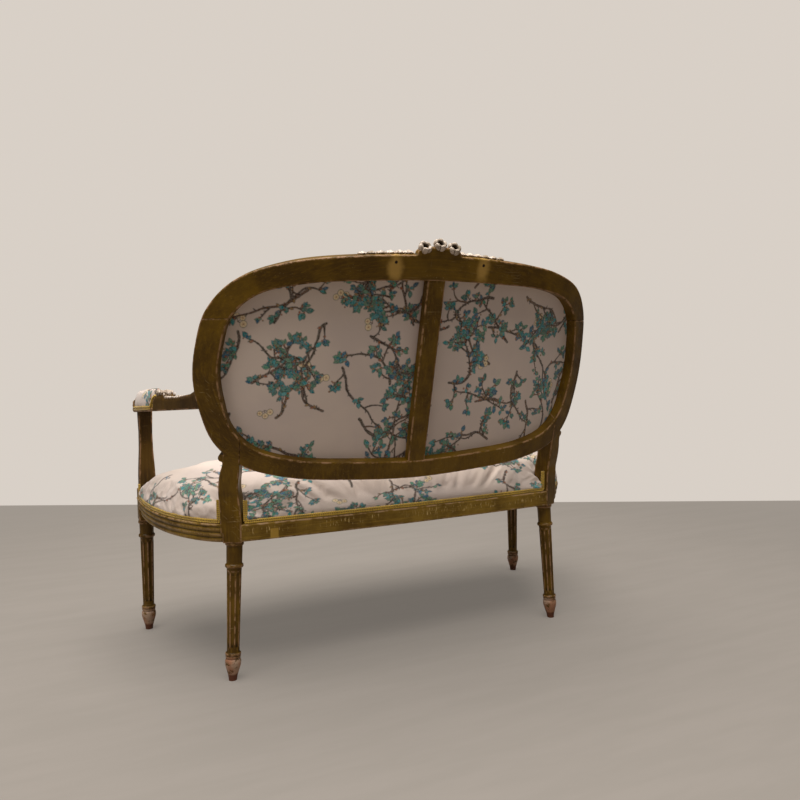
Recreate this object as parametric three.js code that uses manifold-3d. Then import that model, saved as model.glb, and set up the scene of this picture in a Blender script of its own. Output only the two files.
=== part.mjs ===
// A two-seat settee: an oval show-wood back, open arms on straight supports, a domed seat and four fluted legs.
// Millimetres, +Z up; the seat faces -Y, and +X is the right side as seen from the front.
import * as THREE from 'three';
import Module from 'manifold-3d';

const wasm = await Module();
wasm.setup();

// Clearances
const fit = 0.3;
const overrun = 4;

// The curved back: its rear face as a surface over x and z
const ovalHalfWidth = 523;
const ovalMidZ = 700;
const ovalRise = 269;
const ovalDrop = 256;
const frameSideWidth = 49;
const frameTopWidth = 55;
const frameBottomWidth = 44;
const backMidY = 119;
const backMidZ = 650;
const backRake = THREE.MathUtils.degToRad(14.5);
const backBow = 10;
const backWing = 84;
const wingTwistShare = 0.065;
const frameThickness = 42;
const ovalSteps = 40;
const sideJointZ = 830;
const bottomJointInset = 97;

// Half outlines of the oval and of its opening, bottom to top: shares of the half width and of the rise or drop
const ovalShares = [
  [0, -1], [0.31, -0.97], [0.615, -0.9], [0.81, -0.77], [0.92, -0.56], [0.975, -0.275], [1, 0],
  [0.992, 0.27], [0.955, 0.55], [0.855, 0.775], [0.66, 0.91], [0.33, 0.98], [0, 1],
];
const openingShares = [
  [0, -1], [0.32, -0.965], [0.65, -0.89], [0.84, -0.75], [0.94, -0.52], [0.98, -0.25], [1, 0.03],
  [0.99, 0.31], [0.953, 0.61], [0.845, 0.83], [0.64, 0.94], [0.31, 0.985], [0, 1],
];
// The cloth is tacked in a rabbet at this share of the frame's thickness
const rabbetShare = 0.88;
// Frame section: share of the width from the opening outwards, share of the thickness from the rear face
const frameShares = [
  [0, 0.06], [0.05, 0], [0.95, 0], [1, 0.06], [1, 0.78], [0.9, 1], [0.72, 0.97], [0.56, 0.84], [0.4, 0.97],
  [0.3, 0.97], [0.28, rabbetShare], [0, rabbetShare],
];

// Uprights: the stile that carries the oval, the block that takes the seat rails, and the turned leg below
const stileInset = 79;
const stileWidth = 44;
const stileTopZ = 530;
const kneeZ = 430;
const rearBlockDepth = 44;
const rearBlockTurn = THREE.MathUtils.degToRad(26);
const rearBlockBottomZ = 321;
const rearBlockTopZ = 371;
const stileEdge = 3;
// Height share, inner edge share and outer edge share of the stile
const stileShares = [
  [0, 0, 1], [0.22, 0.02, 1], [0.4, 0.08, 1.04], [0.6, 0.15, 1.08], [0.76, 0.11, 1.02], [0.87, 0.1, 0.92],
  [1, 0.11, 0.9],
];
const knuckleRadius = 9;
const knuckleZ = 520;
const knuckleOutset = 20;

// Seat frame
const railTopZ = 364;
const railHeight = 45;
const rearRailHeight = 40;
const railThickness = 28;
const mouldingDepth = 10;
const rearRailY = 41;
const rearRailBow = 13;
const sideRailInset = 68;
const sideCentreY = -400;
const sideReachX = 154;
const sideReachY = 402;
const sideFullness = 2.4;
const sideSharpness = 1.4;
const frontRailY = -450;
const frontRailBow = 35;
const frontBlockInset = 26;
const frontLegOutset = 3;
const frontBlockY = -395;
const frontBlockWidth = 46;
const frontBlockBottomZ = 300;
const frontBlockTopZ = 386;
// Moulded rail section: share of the moulding depth inwards, share of the rail height
const reedShares = [
  [1, 0], [0.72, 0.06], [0.6, 0.18], [0.82, 0.26], [0.42, 0.36], [0.36, 0.48], [0.62, 0.55], [0.18, 0.66],
  [0.14, 0.78], [0.4, 0.84], [0, 0.9], [0, 1],
];
const plainShares = [[0.2, 0], [0, 0.05], [0, 1]];

// Plan places along a side rail, as shares of its length from the front
const frontCornerShare = 0.15;
const rearCornerShare = 0.78;
const sideTrimRearShare = 0.987;
// Straight steps along the rails' paths
const rearSteps = 12;
const sideSteps = 14;
const frontSteps = 14;

// Turned legs
const footHeight = 52;
const footTipRadius = 9.5;
const footRadius = 18.5;
const ankleRadius = 14.3;
const ankleRingRadius = 18;
const ankleRingHeight = 12;
const shaftRadius = 17;
const collarRadius = 21;
const collarHeight = 9;
const neckRadius = 18.5;
const capHeight = 7;
const rearCollarDrop = 56;
const frontCollarDrop = 42;
const legSides = 16;
const fluteShare = 0.16;
// Rings round the ankle: share of their height downwards, and 1 where the row stands proud
const ankleRingShares = [[-0.25, 0], [-0.08, 1], [0.33, 1], [0.42, 0], [0.5, 1], [0.83, 1], [0.92, 0]];
// Foot: share of its height above the floor and share of its radius
const footShares = [[1, 0.9], [0.86, 1], [0.7, 0.94], [0.42, 0.71]];
const rearSplayOut = 0.048;
const rearSplayBack = 0.052;
const frontSplayOut = 0.01;
const frontSplayBack = 0.022;

// Tenons
const tenonThickness = 12;
const tenonHeight = 26;
const tenonLength = 16;
// Places of the oval's tenons: shares of the half width and of the drop
const topTenonShare = 0.965;
const bottomTenonShare = 0.655;

// Corner blocks
const cornerBlockHeight = 30;
const cornerBlockReach = 64;

// Arms and their supports
const armWidth = 42;
const armThickness = 34;
const armRearZ = 633;
const armFrontZ = 591;
const armRearInset = 39;
const armRearY = 18;
const armFrontOutset = 4;
const armFrontY = -430;
const armBowOut = 14;
// Share along the arm from the back, width share and thickness share
const armShares = [
  [0, 0.85, 1.75], [0.06, 0.85, 1.4], [0.13, 0.8, 1.06], [0.24, 0.8, 0.95], [0.36, 0.86, 1], [0.385, 0.9, 1.3],
  [0.44, 0.95, 1.45], [0.475, 1, 1.4], [0.485, 1, 0.3], [0.7, 1, 0.3], [0.935, 1, 0.3], [0.945, 1.02, 0.9],
  [0.965, 1.04, 1.08], [0.985, 0.94, 0.95], [1, 0.68, 0.5],
];
// Half of the arm's section: share of the width from the middle, share of the thickness
const armSectionShares = [[0.42, 0], [0.5, 0.14], [0.5, 0.72], [0.4, 0.93], [0.15, 1]];
const supportInset = 2;
const supportBaseWidth = 43;
const supportTopWidth = 38;
const supportBaseDepth = 40;
const supportTopDepth = 30;
// Share of the support's height and share of its width there
const supportShares = [[0, 1], [0.17, 1], [0.28, 0.97], [0.5, 0.86], [0.72, 0.84], [1, 0.98]];
const supportChamferShare = 0.8;

// Arm pads
const padStartShare = 0.505;
const padEndShare = 0.915;
const padRiseShare = 0.3;
const padHalfWidth = 15;
const padCrown = 44;
const padSquareShare = 0.55;
const padSides = 16;
const padReach = 14;
const padShares = [0.93, 0.8, 0.55];

// Centre brace of the back
const braceWidth = 45;
const braceThickness = 22;
const braceSetback = 2;

// Crest: a lobe on the top rail, three roses and two garlands of berries
const lobeHalfWidth = 55;
const lobeHeight = 18;
const lobeThickness = 30;
const lobeSteps = 10;
const roseRadius = 15;
const roseThickness = 15;
const roseCupRadius = 7;
const roseSpacing = 37;
const roseMidLift = 22;
const roseSideLift = 15;
const roseSetback = 7;
const roseTilt = THREE.MathUtils.degToRad(40);
const roseSides = 15;
const rosePetals = 5;
const petalShare = 0.12;
// Rose, from its back over the petals and down into the cup: share of the radius, share of the half thickness
const petalRowShares = [[0.5, -1], [0.92, -0.6], [1, 0], [0.9, 0.75], [0.62, 1]];
const cupRowShares = [[1, 0.7], [0.8, -0.3]];
const berryRadius = 7;
const berryNeckShare = 0.62;
const garlandTaperShare = 0.3;
const berryPitch = 22;
const berryCount = 6;
const berrySetback = 31;
const berrySides = 8;
const berrySteps = 3;

// Upholstery
const clothThickness = 1.5;
const seatCrown = 92;
const seatReach = 210;
const seatFullness = 2.05;
const seatOverhang = 1.5;
const seatDomeShares = [0.975, 0.92, 0.82, 0.64, 0.36];
const trimRadius = 2;
const trimRise = 50;
const trimOffset = 3;
// Section of the double cord, as shares of one cord's radius outwards and sideways
const cordShares = [[-1, -1.7], [0.3, -1.9], [1, -1], [0.5, 0], [1, 1], [0.3, 1.9], [-1, 1.7]];
const postClearance = 14.5;
const notchTopZ = 520;
const webThickness = 1.5;
const webWidth = 50;
const crossWebCount = 5;
const longWebCount = 3;
const webEndInset = 74;
const webPitchY = 105;
const webMidY = -200;
const webTackInset = 20;
const dustInset = 31;
const outerClothDepth = 25.5;
const backWebDepth = 28;
const backWebPitchX = 220;
const backWebPitchZ = 130;
const backCrown = 36;
const clothGap = 1.2;
const backReach = 150;
const backStrips = 12;
const rimShare = 0.22;
const domeEdgeShare = 0.03;
const backTrimShare = 0.12;
const backShares = [0.95, 0.86, 0.7, 0.45];

// Colours
const woodColour = 0x5a4520;
const wornWoodColour = 0x7a6a52;
const bareWoodColour = 0xa98455;
const trimColour = 0x8a7420;
const clothColour = 0xc4b6b1;
const webColour = 0xa58d62;
const stuffingColour = 0xe6e0d2;
const dustColour = 0x24211f;

const mirrorX = new THREE.Matrix4().makeScale(-1, 1, 1);
const up = new THREE.Vector3(0, 0, 1);
const lerp = THREE.MathUtils.lerp;

// Places that follow the oval's width
const openingHalfWidth = ovalHalfWidth - frameSideWidth;
const openingRise = ovalRise - frameTopWidth;
const openingDrop = ovalDrop - frameBottomWidth;
const bottomJointX = ovalHalfWidth - bottomJointInset;
const stileMidX = ovalHalfWidth - stileInset;
const sideCentreX = ovalHalfWidth - sideRailInset;
const frontBlockX = sideCentreX + sideReachX - frontBlockInset;
const frontLegX = frontBlockX + frontLegOutset;
const supportX = frontBlockX - supportInset;
const webPitchX = 2 * (stileMidX - webEndInset) / (crossWebCount - 1);
const armRearX = ovalHalfWidth - armRearInset;
const armFrontX = frontBlockX + armFrontOutset;

// A corner beyond everything, for cuts that split the whole settee
const far = new THREE.Vector3(2 * ovalHalfWidth, 2 * ovalHalfWidth, 2 * ovalMidZ);

// Geometry helpers

function volume(points, faces) {
  let total = 0;
  for (let i = 0; i < faces.length; i += 3) {
    const [a, b, c] = [points[faces[i]], points[faces[i + 1]], points[faces[i + 2]]];
    total += a.dot(new THREE.Vector3().crossVectors(b, c));
  }
  return total;
}

function solidFromFaces(points, faces) {
  const turned = volume(points, faces) < 0 ? faces.slice().reverse() : faces;
  const mesh = new wasm.Mesh({
    numProp: 3,
    vertProperties: new Float32Array(points.flatMap((p) => [p.x, p.y, p.z])),
    triVerts: new Uint32Array(turned),
  });
  return new wasm.Manifold(mesh);
}

// A solid through rings of points. A ring of one point is a pole; other end rings are capped by triangulating
// the section, and a loop joins the last ring to the first.
function skin(rings, section = null, loop = false) {
  const points = rings.flat();
  const starts = [];
  rings.reduce((start, ring) => {
    starts.push(start);
    return start + ring.length;
  }, 0);
  const faces = [];
  const spans = loop ? rings.length : rings.length - 1;
  for (let i = 0; i < spans; i += 1) {
    const next = (i + 1) % rings.length;
    const count = Math.max(rings[i].length, rings[next].length);
    for (let j = 0; j < count; j += 1) {
      const k = (j + 1) % count;
      const here = (n) => starts[i] + (rings[i].length === 1 ? 0 : n);
      const there = (n) => starts[next] + (rings[next].length === 1 ? 0 : n);
      if (rings[next].length > 1) faces.push(here(j), there(j), there(k));
      if (rings[i].length > 1) faces.push(here(j), there(k), here(k));
    }
  }
  if (!loop && rings[0].length > 1) {
    const last = starts[rings.length - 1];
    for (const [a, b, c] of THREE.ShapeUtils.triangulateShape(section, [])) {
      faces.push(a, b, c, last + c, last + b, last + a);
    }
  }
  return orientedSolid(points, faces, section, loop || rings[0].length === 1);
}

// Caps and walls have to agree: the caps are flipped when that is what closes the solid
function orientedSolid(points, faces, section, capless) {
  if (capless) return solidFromFaces(points, faces);
  const capCount = 6 * (section.length - 2);
  const walls = faces.slice(0, faces.length - capCount);
  const caps = faces.slice(faces.length - capCount);
  const edges = new Set();
  for (let i = 0; i < walls.length; i += 3) {
    for (let e = 0; e < 3; e += 1) edges.add(`${walls[i + e]},${walls[i + ((e + 1) % 3)]}`);
  }
  const clash = [0, 1, 2].some((e) => edges.has(`${caps[e]},${caps[(e + 1) % 3]}`));
  return solidFromFaces(points, [...walls, ...(clash ? caps.reverse() : caps)]);
}

function loft(section, frames, loop = false) {
  return skin(frames.map((frame) => section.map((point, index) => frame(point, index))), section, loop);
}

function box(low, high) {
  const corners = [];
  for (const z of [low.z, high.z]) {
    corners.push([low.x, low.y, z], [high.x, low.y, z], [high.x, high.y, z], [low.x, high.y, z]);
  }
  const points = corners.map((corner) => new THREE.Vector3(...corner));
  const section = points.slice(0, 4).map((p) => new THREE.Vector2(p.x, p.y));
  return skin([points.slice(0, 4), points.slice(4)], section);
}

function centredBox(centre, size, grow = 0) {
  const half = size.clone().multiplyScalar(0.5).addScalar(grow);
  return box(centre.clone().sub(half), centre.clone().add(half));
}

function place(solid, matrix) {
  return solid.transform(matrix.elements);
}

function mirrored(solid) {
  return place(solid, mirrorX);
}

function largest(solid) {
  return solid.decompose().sort((a, b) => b.volume() - a.volume())[0];
}

function circle(count, radius = 1) {
  return Array.from({ length: count }, (_, i) => {
    const angle = (i / count) * Math.PI * 2;
    return new THREE.Vector2(Math.cos(angle), Math.sin(angle)).multiplyScalar(radius);
  });
}

// The back surface

function backY(x, z) {
  const side = x / ovalHalfWidth;
  const rise = z - backMidZ;
  const wing = backBow * side ** 2 + backWing * side ** 4 + rise * wingTwistShare * side ** 2;
  return backMidY + rise * Math.tan(backRake) - wing;
}

function backNormal(x, z) {
  const side = x / ovalHalfWidth;
  const twist = (z - backMidZ) * wingTwistShare;
  const slopeX = -(2 * (backBow + twist) * side + 4 * backWing * side ** 3) / ovalHalfWidth;
  const slopeZ = Math.tan(backRake) - wingTwistShare * side ** 2;
  return new THREE.Vector3(-slopeX, 1, -slopeZ).normalize();
}

// A point at a depth in front of the back's rear face
function onBack(x, z, depth) {
  return new THREE.Vector3(x, backY(x, z), z).addScaledVector(backNormal(x, z), -depth);
}

function ovalCurve(halfShares, halfWidth, rise, drop) {
  const half = halfShares.map(([across, along]) => {
    const height = along > 0 ? along * rise : along * drop;
    return new THREE.Vector3(across * halfWidth, ovalMidZ + height, 0);
  });
  const left = half.slice(1, -1).reverse().map((p) => new THREE.Vector3(-p.x, p.y, 0));
  return new THREE.CatmullRomCurve3([...half, ...left], true, 'centripetal');
}

const ovalEdge = ovalCurve(ovalShares, ovalHalfWidth, ovalRise, ovalDrop);
const openingEdge = ovalCurve(openingShares, openingHalfWidth, openingRise, openingDrop);

function ovalRing(grow = 0) {
  const shareGrow = grow / (ovalHalfWidth - openingHalfWidth);
  const section = frameShares.map(([across, deep]) => {
    const share = across < 0.5 ? across - shareGrow : across + shareGrow;
    const depth = deep < 0.5 ? deep * frameThickness - grow : deep * frameThickness + grow;
    return new THREE.Vector2(share, depth);
  });
  const frames = Array.from({ length: ovalSteps }, (_, i) => {
    const outer = ovalEdge.getPoint(i / ovalSteps);
    const inner = openingEdge.getPoint(i / ovalSteps);
    return (p) => onBack(lerp(inner.x, outer.x, p.x), lerp(inner.y, outer.y, p.x), p.y);
  });
  const half = loft(section, frames, true).intersect(box(new THREE.Vector3(-overrun, -far.y, 0), far));
  return half.add(mirrored(half));
}

// The right-hand rear block stands square to the curved back
const stileInnerX = stileMidX - stileWidth / 2;
const rearBlockAcross = new THREE.Vector3(Math.cos(rearBlockTurn), -Math.sin(rearBlockTurn), 0);
const rearBlockBack = new THREE.Vector3(Math.sin(rearBlockTurn), Math.cos(rearBlockTurn), 0);
const rearBlockCentre = new THREE.Vector3(stileInnerX, backY(stileInnerX, kneeZ), 0)
  .addScaledVector(rearBlockAcross, stileWidth / 2).addScaledVector(rearBlockBack, -rearBlockDepth / 2);

function rearBlock(width, depth, bottomZ, topZ) {
  const size = new THREE.Vector3(width, depth, topZ - bottomZ);
  const matrix = new THREE.Matrix4().makeRotationZ(-rearBlockTurn);
  matrix.setPosition(rearBlockCentre.x, rearBlockCentre.y, (topZ + bottomZ) / 2);
  return place(centredBox(new THREE.Vector3(), size), matrix);
}

// Plan paths of the seat rails: points with their outward directions

function withNormals(points) {
  return points.map((point, i) => {
    const before = points[Math.max(i - 1, 0)];
    const after = points[Math.min(i + 1, points.length - 1)];
    const along = after.clone().sub(before).normalize();
    return { point, outward: new THREE.Vector2(along.y, -along.x) };
  });
}

function rearPlanY(x) {
  return rearRailY - rearRailBow * (x / (stileMidX - stileWidth / 2)) ** 2;
}

function frontPlanY(x) {
  return frontRailY + frontRailBow * (x / (frontBlockX - frontBlockWidth / 2)) ** 2;
}

// Plan of a side rail's face at a share of its length from the front
function sidePlan(share) {
  const out = (1 - share ** sideFullness) ** (1 / sideSharpness);
  return new THREE.Vector2(sideCentreX + sideReachX * out, sideCentreY + sideReachY * share);
}

function samples(from, to, count) {
  return Array.from({ length: count + 1 }, (_, i) => lerp(from, to, i / count));
}

function rearPlan(end, count) {
  return samples(end, -end, count).map((x) => new THREE.Vector2(x, rearPlanY(x)));
}

function frontPlan(end, count) {
  return samples(-end, end, count).map((x) => new THREE.Vector2(x, frontPlanY(x)));
}

// Paths run clockwise seen from above, so that outward is on their left
const rearRailEnd = stileInnerX + fit;
const rearPath = withNormals(rearPlan(rearRailEnd, rearSteps));
const sidePath = withNormals(samples(0, 1, sideSteps).map(sidePlan));
const frontPath = withNormals(frontPlan(frontBlockX, frontSteps));

function seatRail(path, faceShares, height, grow = 0) {
  const inner = [[-railThickness - grow, 1], [-railThickness - grow, 0]];
  const outer = faceShares.map(([inwards, rise]) => [grow - inwards * mouldingDepth, rise]);
  const section = [...outer, ...inner].map(([outset, rise]) => {
    return new THREE.Vector2(outset, railTopZ - height - grow + rise * (height + 2 * grow));
  });
  const frames = path.map(({ point, outward }) => (p) => {
    const flat = point.clone().addScaledVector(outward, p.x);
    return new THREE.Vector3(flat.x, flat.y, p.y);
  });
  return loft(section, frames);
}

function frontBlock(grow, topZ) {
  const half = frontBlockWidth / 2 + grow;
  const low = new THREE.Vector3(frontBlockX - half, frontBlockY - half, frontBlockBottomZ - grow);
  const high = new THREE.Vector3(frontBlockX + half, frontBlockY + half, topZ);
  return box(low, high);
}

// Turned leg: rows of distance below the block, radius, and whether the flutes run there
function turnedLeg(top, collarDrop, splayOut, splayBack) {
  const axis = new THREE.Vector3(splayOut, splayBack, -1);
  const length = top.z * axis.length();
  axis.normalize();
  const ringTop = length - footHeight - ankleRingHeight;
  const flutesTop = collarDrop + collarHeight;
  const rows = [
    [-overrun, collarRadius], [capHeight, collarRadius], [capHeight * 1.15, neckRadius],
    [collarDrop - collarHeight / 2, neckRadius], [collarDrop - collarHeight / 3, collarRadius],
    [collarDrop + collarHeight / 3, collarRadius], [collarDrop + collarHeight / 2, shaftRadius],
    [flutesTop, shaftRadius], [flutesTop + ankleRingHeight / 4, shaftRadius, true],
    [ringTop - ankleRingHeight / 2, ankleRadius, true],
    ...ankleRingShares.map(([drop, proud]) => {
      return [ringTop + drop * ankleRingHeight, proud ? ankleRingRadius : ankleRadius];
    }),
    ...footShares.map(([rise, share]) => [length - rise * footHeight, share * footRadius]),
    [length, footTipRadius], [length + overrun, footTipRadius],
  ];
  const turn = new THREE.Quaternion().setFromUnitVectors(up.clone().negate(), axis);
  const frames = rows.map(([drop, radius, fluted]) => (p, index) => {
    const depth = fluted && index % 2 ? radius * (1 - fluteShare) : radius;
    return new THREE.Vector3(p.x * depth, p.y * depth, -drop).applyQuaternion(turn).add(top);
  });
  const floor = new THREE.Vector3(2 * top.x, -2 * top.x, -top.z);
  return loft(circle(legSides), frames).subtract(box(floor, new THREE.Vector3(0, 2 * top.x, 0)));
}

// The stile above the rear block, plumb below the knee and raked above it
function stile() {
  const edge = stileEdge / stileWidth;
  const section = [
    [0, stileEdge], [edge, 0], [1 - edge, 0], [1, stileEdge], [1, frameThickness - stileEdge],
    [1 - edge, frameThickness], [edge, frameThickness], [0, frameThickness - stileEdge],
  ].map(([across, deep]) => new THREE.Vector2(across, deep));
  const baseZ = railTopZ + 2 * fit;
  const frames = stileShares.map(([rise, innerShare, outerShare]) => (p) => {
    const z = lerp(baseZ, stileTopZ, rise);
    const raised = Math.max(z, kneeZ);
    const normal = backNormal(stileMidX, raised);
    const turnShare = (raised - kneeZ) / (stileTopZ - kneeZ);
    const turn = lerp(rearBlockTurn, Math.atan2(normal.x, normal.y), turnShare);
    const across = stileWidth * lerp(innerShare, outerShare, p.x);
    const x = stileInnerX + across - p.y * Math.sin(turn);
    return new THREE.Vector3(x, backY(stileInnerX, raised) - across * Math.tan(turn) - p.y * Math.cos(turn), z);
  });
  return loft(section, frames);
}

function knuckle() {
  const x = stileMidX + knuckleOutset;
  const section = circle(12, knuckleRadius);
  const across = new THREE.Vector3().crossVectors(backNormal(x, knuckleZ), up).normalize();
  const frames = [overrun, frameThickness - overrun].map((depth) => (p) => {
    return onBack(x, knuckleZ, depth).addScaledVector(across, p.x).addScaledVector(up, p.y);
  });
  return loft(section, frames);
}

// Show-wood frame, the right side first

const ring = ovalRing();
const ringCut = ovalRing(fit);
const jointGap = fit / 2;

const topCut = box(new THREE.Vector3(-far.x, -far.y, sideJointZ + jointGap), far);
const bottomCut = box(
  new THREE.Vector3(-bottomJointX + jointGap, -far.y, 0),
  new THREE.Vector3(bottomJointX - jointGap, far.y, ovalMidZ),
);
const sideCut = box(
  new THREE.Vector3(bottomJointX + jointGap, -far.y, 0),
  new THREE.Vector3(far.x, far.y, sideJointZ - jointGap),
);

function lobe(grow = 0) {
  const topZ = ovalMidZ + ovalRise;
  const section = [[0, 0], [1, 0], [1, 1], [0, 1]].map(([deep, high]) => new THREE.Vector2(deep, high));
  const frames = samples(Math.PI, 0, lobeSteps).map((angle) => (p) => {
    const x = (lobeHalfWidth + grow) * Math.cos(angle);
    const height = (lobeHeight + grow) * Math.sin(angle);
    const z = p.y ? topZ + height : topZ - lobeHeight;
    return onBack(x, z, p.x ? lobeThickness + grow : -grow);
  });
  return loft(section, frames);
}

const topTenonSize = new THREE.Vector3(tenonThickness, tenonThickness, 2 * tenonLength);
const topTenonX = topTenonShare * (ovalHalfWidth + openingHalfWidth) / 2;
const topTenonCentre = onBack(topTenonX, sideJointZ, frameThickness / 2);
topTenonCentre.z = sideJointZ;
const bottomTenonSize = new THREE.Vector3(2 * tenonLength, tenonThickness, tenonThickness);
const bottomTenonCentre = onBack(bottomJointX, ovalMidZ - ovalDrop * bottomTenonShare, frameThickness / 2);
bottomTenonCentre.x = bottomJointX;

const braceTenonSize = new THREE.Vector3(tenonHeight, tenonThickness / 2, 2 * tenonLength);
const braceTenons = [-openingDrop, openingRise].map((rise) => {
  return onBack(0, ovalMidZ + rise, braceSetback + braceThickness / 2);
});
const topTenon = centredBox(topTenonCentre, topTenonSize);
const bottomTenon = centredBox(bottomTenonCentre, bottomTenonSize);
const backTopRail = ring.intersect(topCut).add(lobe()).add(topTenon).add(mirrored(topTenon))
  .subtract(centredBox(braceTenons[1], braceTenonSize, fit));
const backBottomRail = ring.intersect(bottomCut).add(bottomTenon).add(mirrored(bottomTenon))
  .subtract(centredBox(braceTenons[0], braceTenonSize, fit));

const rearTenonSize = new THREE.Vector3(2 * tenonLength, tenonThickness, tenonHeight);
const railMidZ = railTopZ - rearRailHeight / 2;
const rearTenonCentre = new THREE.Vector3(stileInnerX, rearPlanY(stileInnerX) - railThickness / 2, railMidZ);
const frontTenonSize = new THREE.Vector3(2 * tenonLength, tenonThickness, tenonHeight);
const frontTenonCentre = new THREE.Vector3(
  frontBlockX - frontBlockWidth / 2, frontBlockY - tenonThickness, railMidZ,
);
const sideFrontTenonSize = new THREE.Vector3(tenonThickness, 2 * tenonLength, tenonHeight);
const sideFrontTenonCentre = new THREE.Vector3(
  sidePlan(0).x - railThickness / 2, frontBlockY + frontBlockWidth / 2, railMidZ,
);

// The side rail meets the rear block at an angle, so its tenon follows the rail
function sideRearTenon(grow) {
  const [{ point, outward }] = sidePath.slice(-2);
  const centre = point.clone().addScaledVector(outward, -railThickness / 2);
  const matrix = new THREE.Matrix4().makeRotationZ(Math.atan2(outward.y, outward.x));
  matrix.setPosition(centre.x, centre.y, railMidZ);
  return place(centredBox(new THREE.Vector3(), sideFrontTenonSize, grow), matrix);
}

const supportTenonSize = new THREE.Vector3(tenonLength, tenonLength, 2 * tenonLength);
const supportBaseCentre = new THREE.Vector3(supportX, frontBlockY, frontBlockTopZ);
const armTenonSize = new THREE.Vector3(tenonThickness, tenonThickness, 2 * tenonThickness);

const blockSolid = rearBlock(stileWidth, rearBlockDepth, rearBlockBottomZ, rearBlockTopZ);
const underRailsZ = railTopZ - railHeight - 2 * overrun;
const blockCut = rearBlock(stileWidth + 2 * fit, rearBlockDepth + 2 * fit, underRailsZ, notchTopZ);
const rearLegTop = new THREE.Vector3(rearBlockCentre.x, rearBlockCentre.y, rearBlockBottomZ);
const bottomRailCut = ringCut.intersect(box(far.clone().negate(), far.clone().setX(bottomJointX + jointGap)));
const rearUprightRight = largest(stile().subtract(bottomRailCut)
  .add(ring.intersect(sideCut)).add(knuckle()).add(blockSolid)
  .add(turnedLeg(rearLegTop, rearCollarDrop, rearSplayOut, rearSplayBack))
  .subtract(centredBox(topTenonCentre, topTenonSize, fit))
  .subtract(centredBox(bottomTenonCentre, bottomTenonSize, fit))
  .subtract(centredBox(rearTenonCentre, rearTenonSize, fit))
  .subtract(sideRearTenon(fit)));

const frontLegTop = new THREE.Vector3(frontLegX, frontBlockY, frontBlockBottomZ);
const frontLegRight = frontBlock(0, frontBlockTopZ)
  .add(turnedLeg(frontLegTop, frontCollarDrop, frontSplayOut, frontSplayBack))
  .subtract(centredBox(frontTenonCentre, frontTenonSize, fit))
  .subtract(centredBox(sideFrontTenonCentre, sideFrontTenonSize, fit))
  .subtract(centredBox(supportBaseCentre, supportTenonSize, fit));
const frontBlockCut = frontBlock(fit, notchTopZ);

const bothRearCuts = blockCut.add(mirrored(blockCut));
const bothFrontCuts = frontBlockCut.add(mirrored(frontBlockCut));
const rearTenon = centredBox(rearTenonCentre, rearTenonSize);
const frontTenon = centredBox(frontTenonCentre, frontTenonSize);
const seatRailRear = seatRail(rearPath, plainShares, rearRailHeight).subtract(bothRearCuts)
  .add(rearTenon).add(mirrored(rearTenon));
const seatRailFront = seatRail(frontPath, reedShares, railHeight).subtract(bothFrontCuts)
  .add(frontTenon).add(mirrored(frontTenon));
const seatRailRight = seatRail(sidePath, reedShares, railHeight).subtract(blockCut).subtract(frontBlockCut)
  .add(sideRearTenon(0)).add(centredBox(sideFrontTenonCentre, sideFrontTenonSize));

// Corner blocks glued in the angles between the rails
const railCuts = [
  seatRail(rearPath, plainShares, rearRailHeight, fit),
  seatRail(sidePath, reedShares, railHeight, fit),
  seatRail(frontPath, reedShares, railHeight, fit),
];

function cornerBlock(plan) {
  const section = plan.map(([x, y]) => new THREE.Vector2(x, y));
  const frames = [-0.5, 0.5].map((share) => (p) => {
    return new THREE.Vector3(p.x, p.y, railMidZ + share * cornerBlockHeight);
  });
  const cuts = [...railCuts, blockCut, frontBlockCut];
  return cuts.reduce((solid, cut) => solid.subtract(cut), loft(section, frames));
}

const railMid = railThickness / 2;
const frontCornerX = sidePlan(frontCornerShare).x - railMid;
const frontCornerY = frontPlanY(frontBlockX - cornerBlockReach) + railMid;
const cornerFrontRight = cornerBlock([
  [frontBlockX - frontBlockWidth / 2 - cornerBlockReach, frontCornerY], [frontBlockX, frontCornerY],
  [frontCornerX, frontBlockY], [frontCornerX, frontBlockY + frontBlockWidth / 2 + cornerBlockReach],
]);
const rearCornerPlan = sidePlan(rearCornerShare);
const cornerRearRight = cornerBlock([
  [stileMidX - stileWidth / 2 - cornerBlockReach, rearPlanY(stileMidX - cornerBlockReach) - railMid],
  [rearBlockCentre.x, rearBlockCentre.y],
  [rearCornerPlan.x - railMid, rearCornerPlan.y - railMid / 2],
  [stileMidX, rearBlockCentre.y - cornerBlockReach],
]);

// Arms

const armLine = new THREE.CatmullRomCurve3(samples(0, 1, 6).map((share) => {
  const bow = armBowOut * Math.sin(share * Math.PI) / 2;
  const x = lerp(armRearX, armFrontX, Math.sin(share * Math.PI / 2));
  return new THREE.Vector3(x + bow, lerp(armRearY, armFrontY, share), lerp(armRearZ, armFrontZ, share));
}), false, 'centripetal');

// Frame of the arm at a share of its length: origin on the underside, across to the right
function armFrame(share) {
  const origin = armLine.getPoint(share);
  const along = armLine.getTangent(share).setZ(0).normalize();
  return { origin, along, across: new THREE.Vector3(-along.y, along.x, 0) };
}

function onArm(share, across, rise) {
  const frame = armFrame(share);
  return frame.origin.addScaledVector(frame.across, across).addScaledVector(up, rise);
}

const armSection = [
  ...armSectionShares, ...armSectionShares.slice().reverse().map(([across, high]) => [-across, high]),
].map(([across, high]) => new THREE.Vector2(across, high));

function armBody(grow = 0) {
  const frames = armShares.map(([share, width, thickness]) => (p) => {
    const rise = p.y * (thickness * armThickness + 2 * grow) - grow;
    return onArm(share, p.x * (width * armWidth + 2 * grow), rise);
  });
  return loft(armSection, frames);
}

const armTenonCentre = new THREE.Vector3(supportX, frontBlockY, armFrontZ);
const armRight = armBody().subtract(ringCut).subtract(centredBox(armTenonCentre, armTenonSize, fit));

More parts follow.
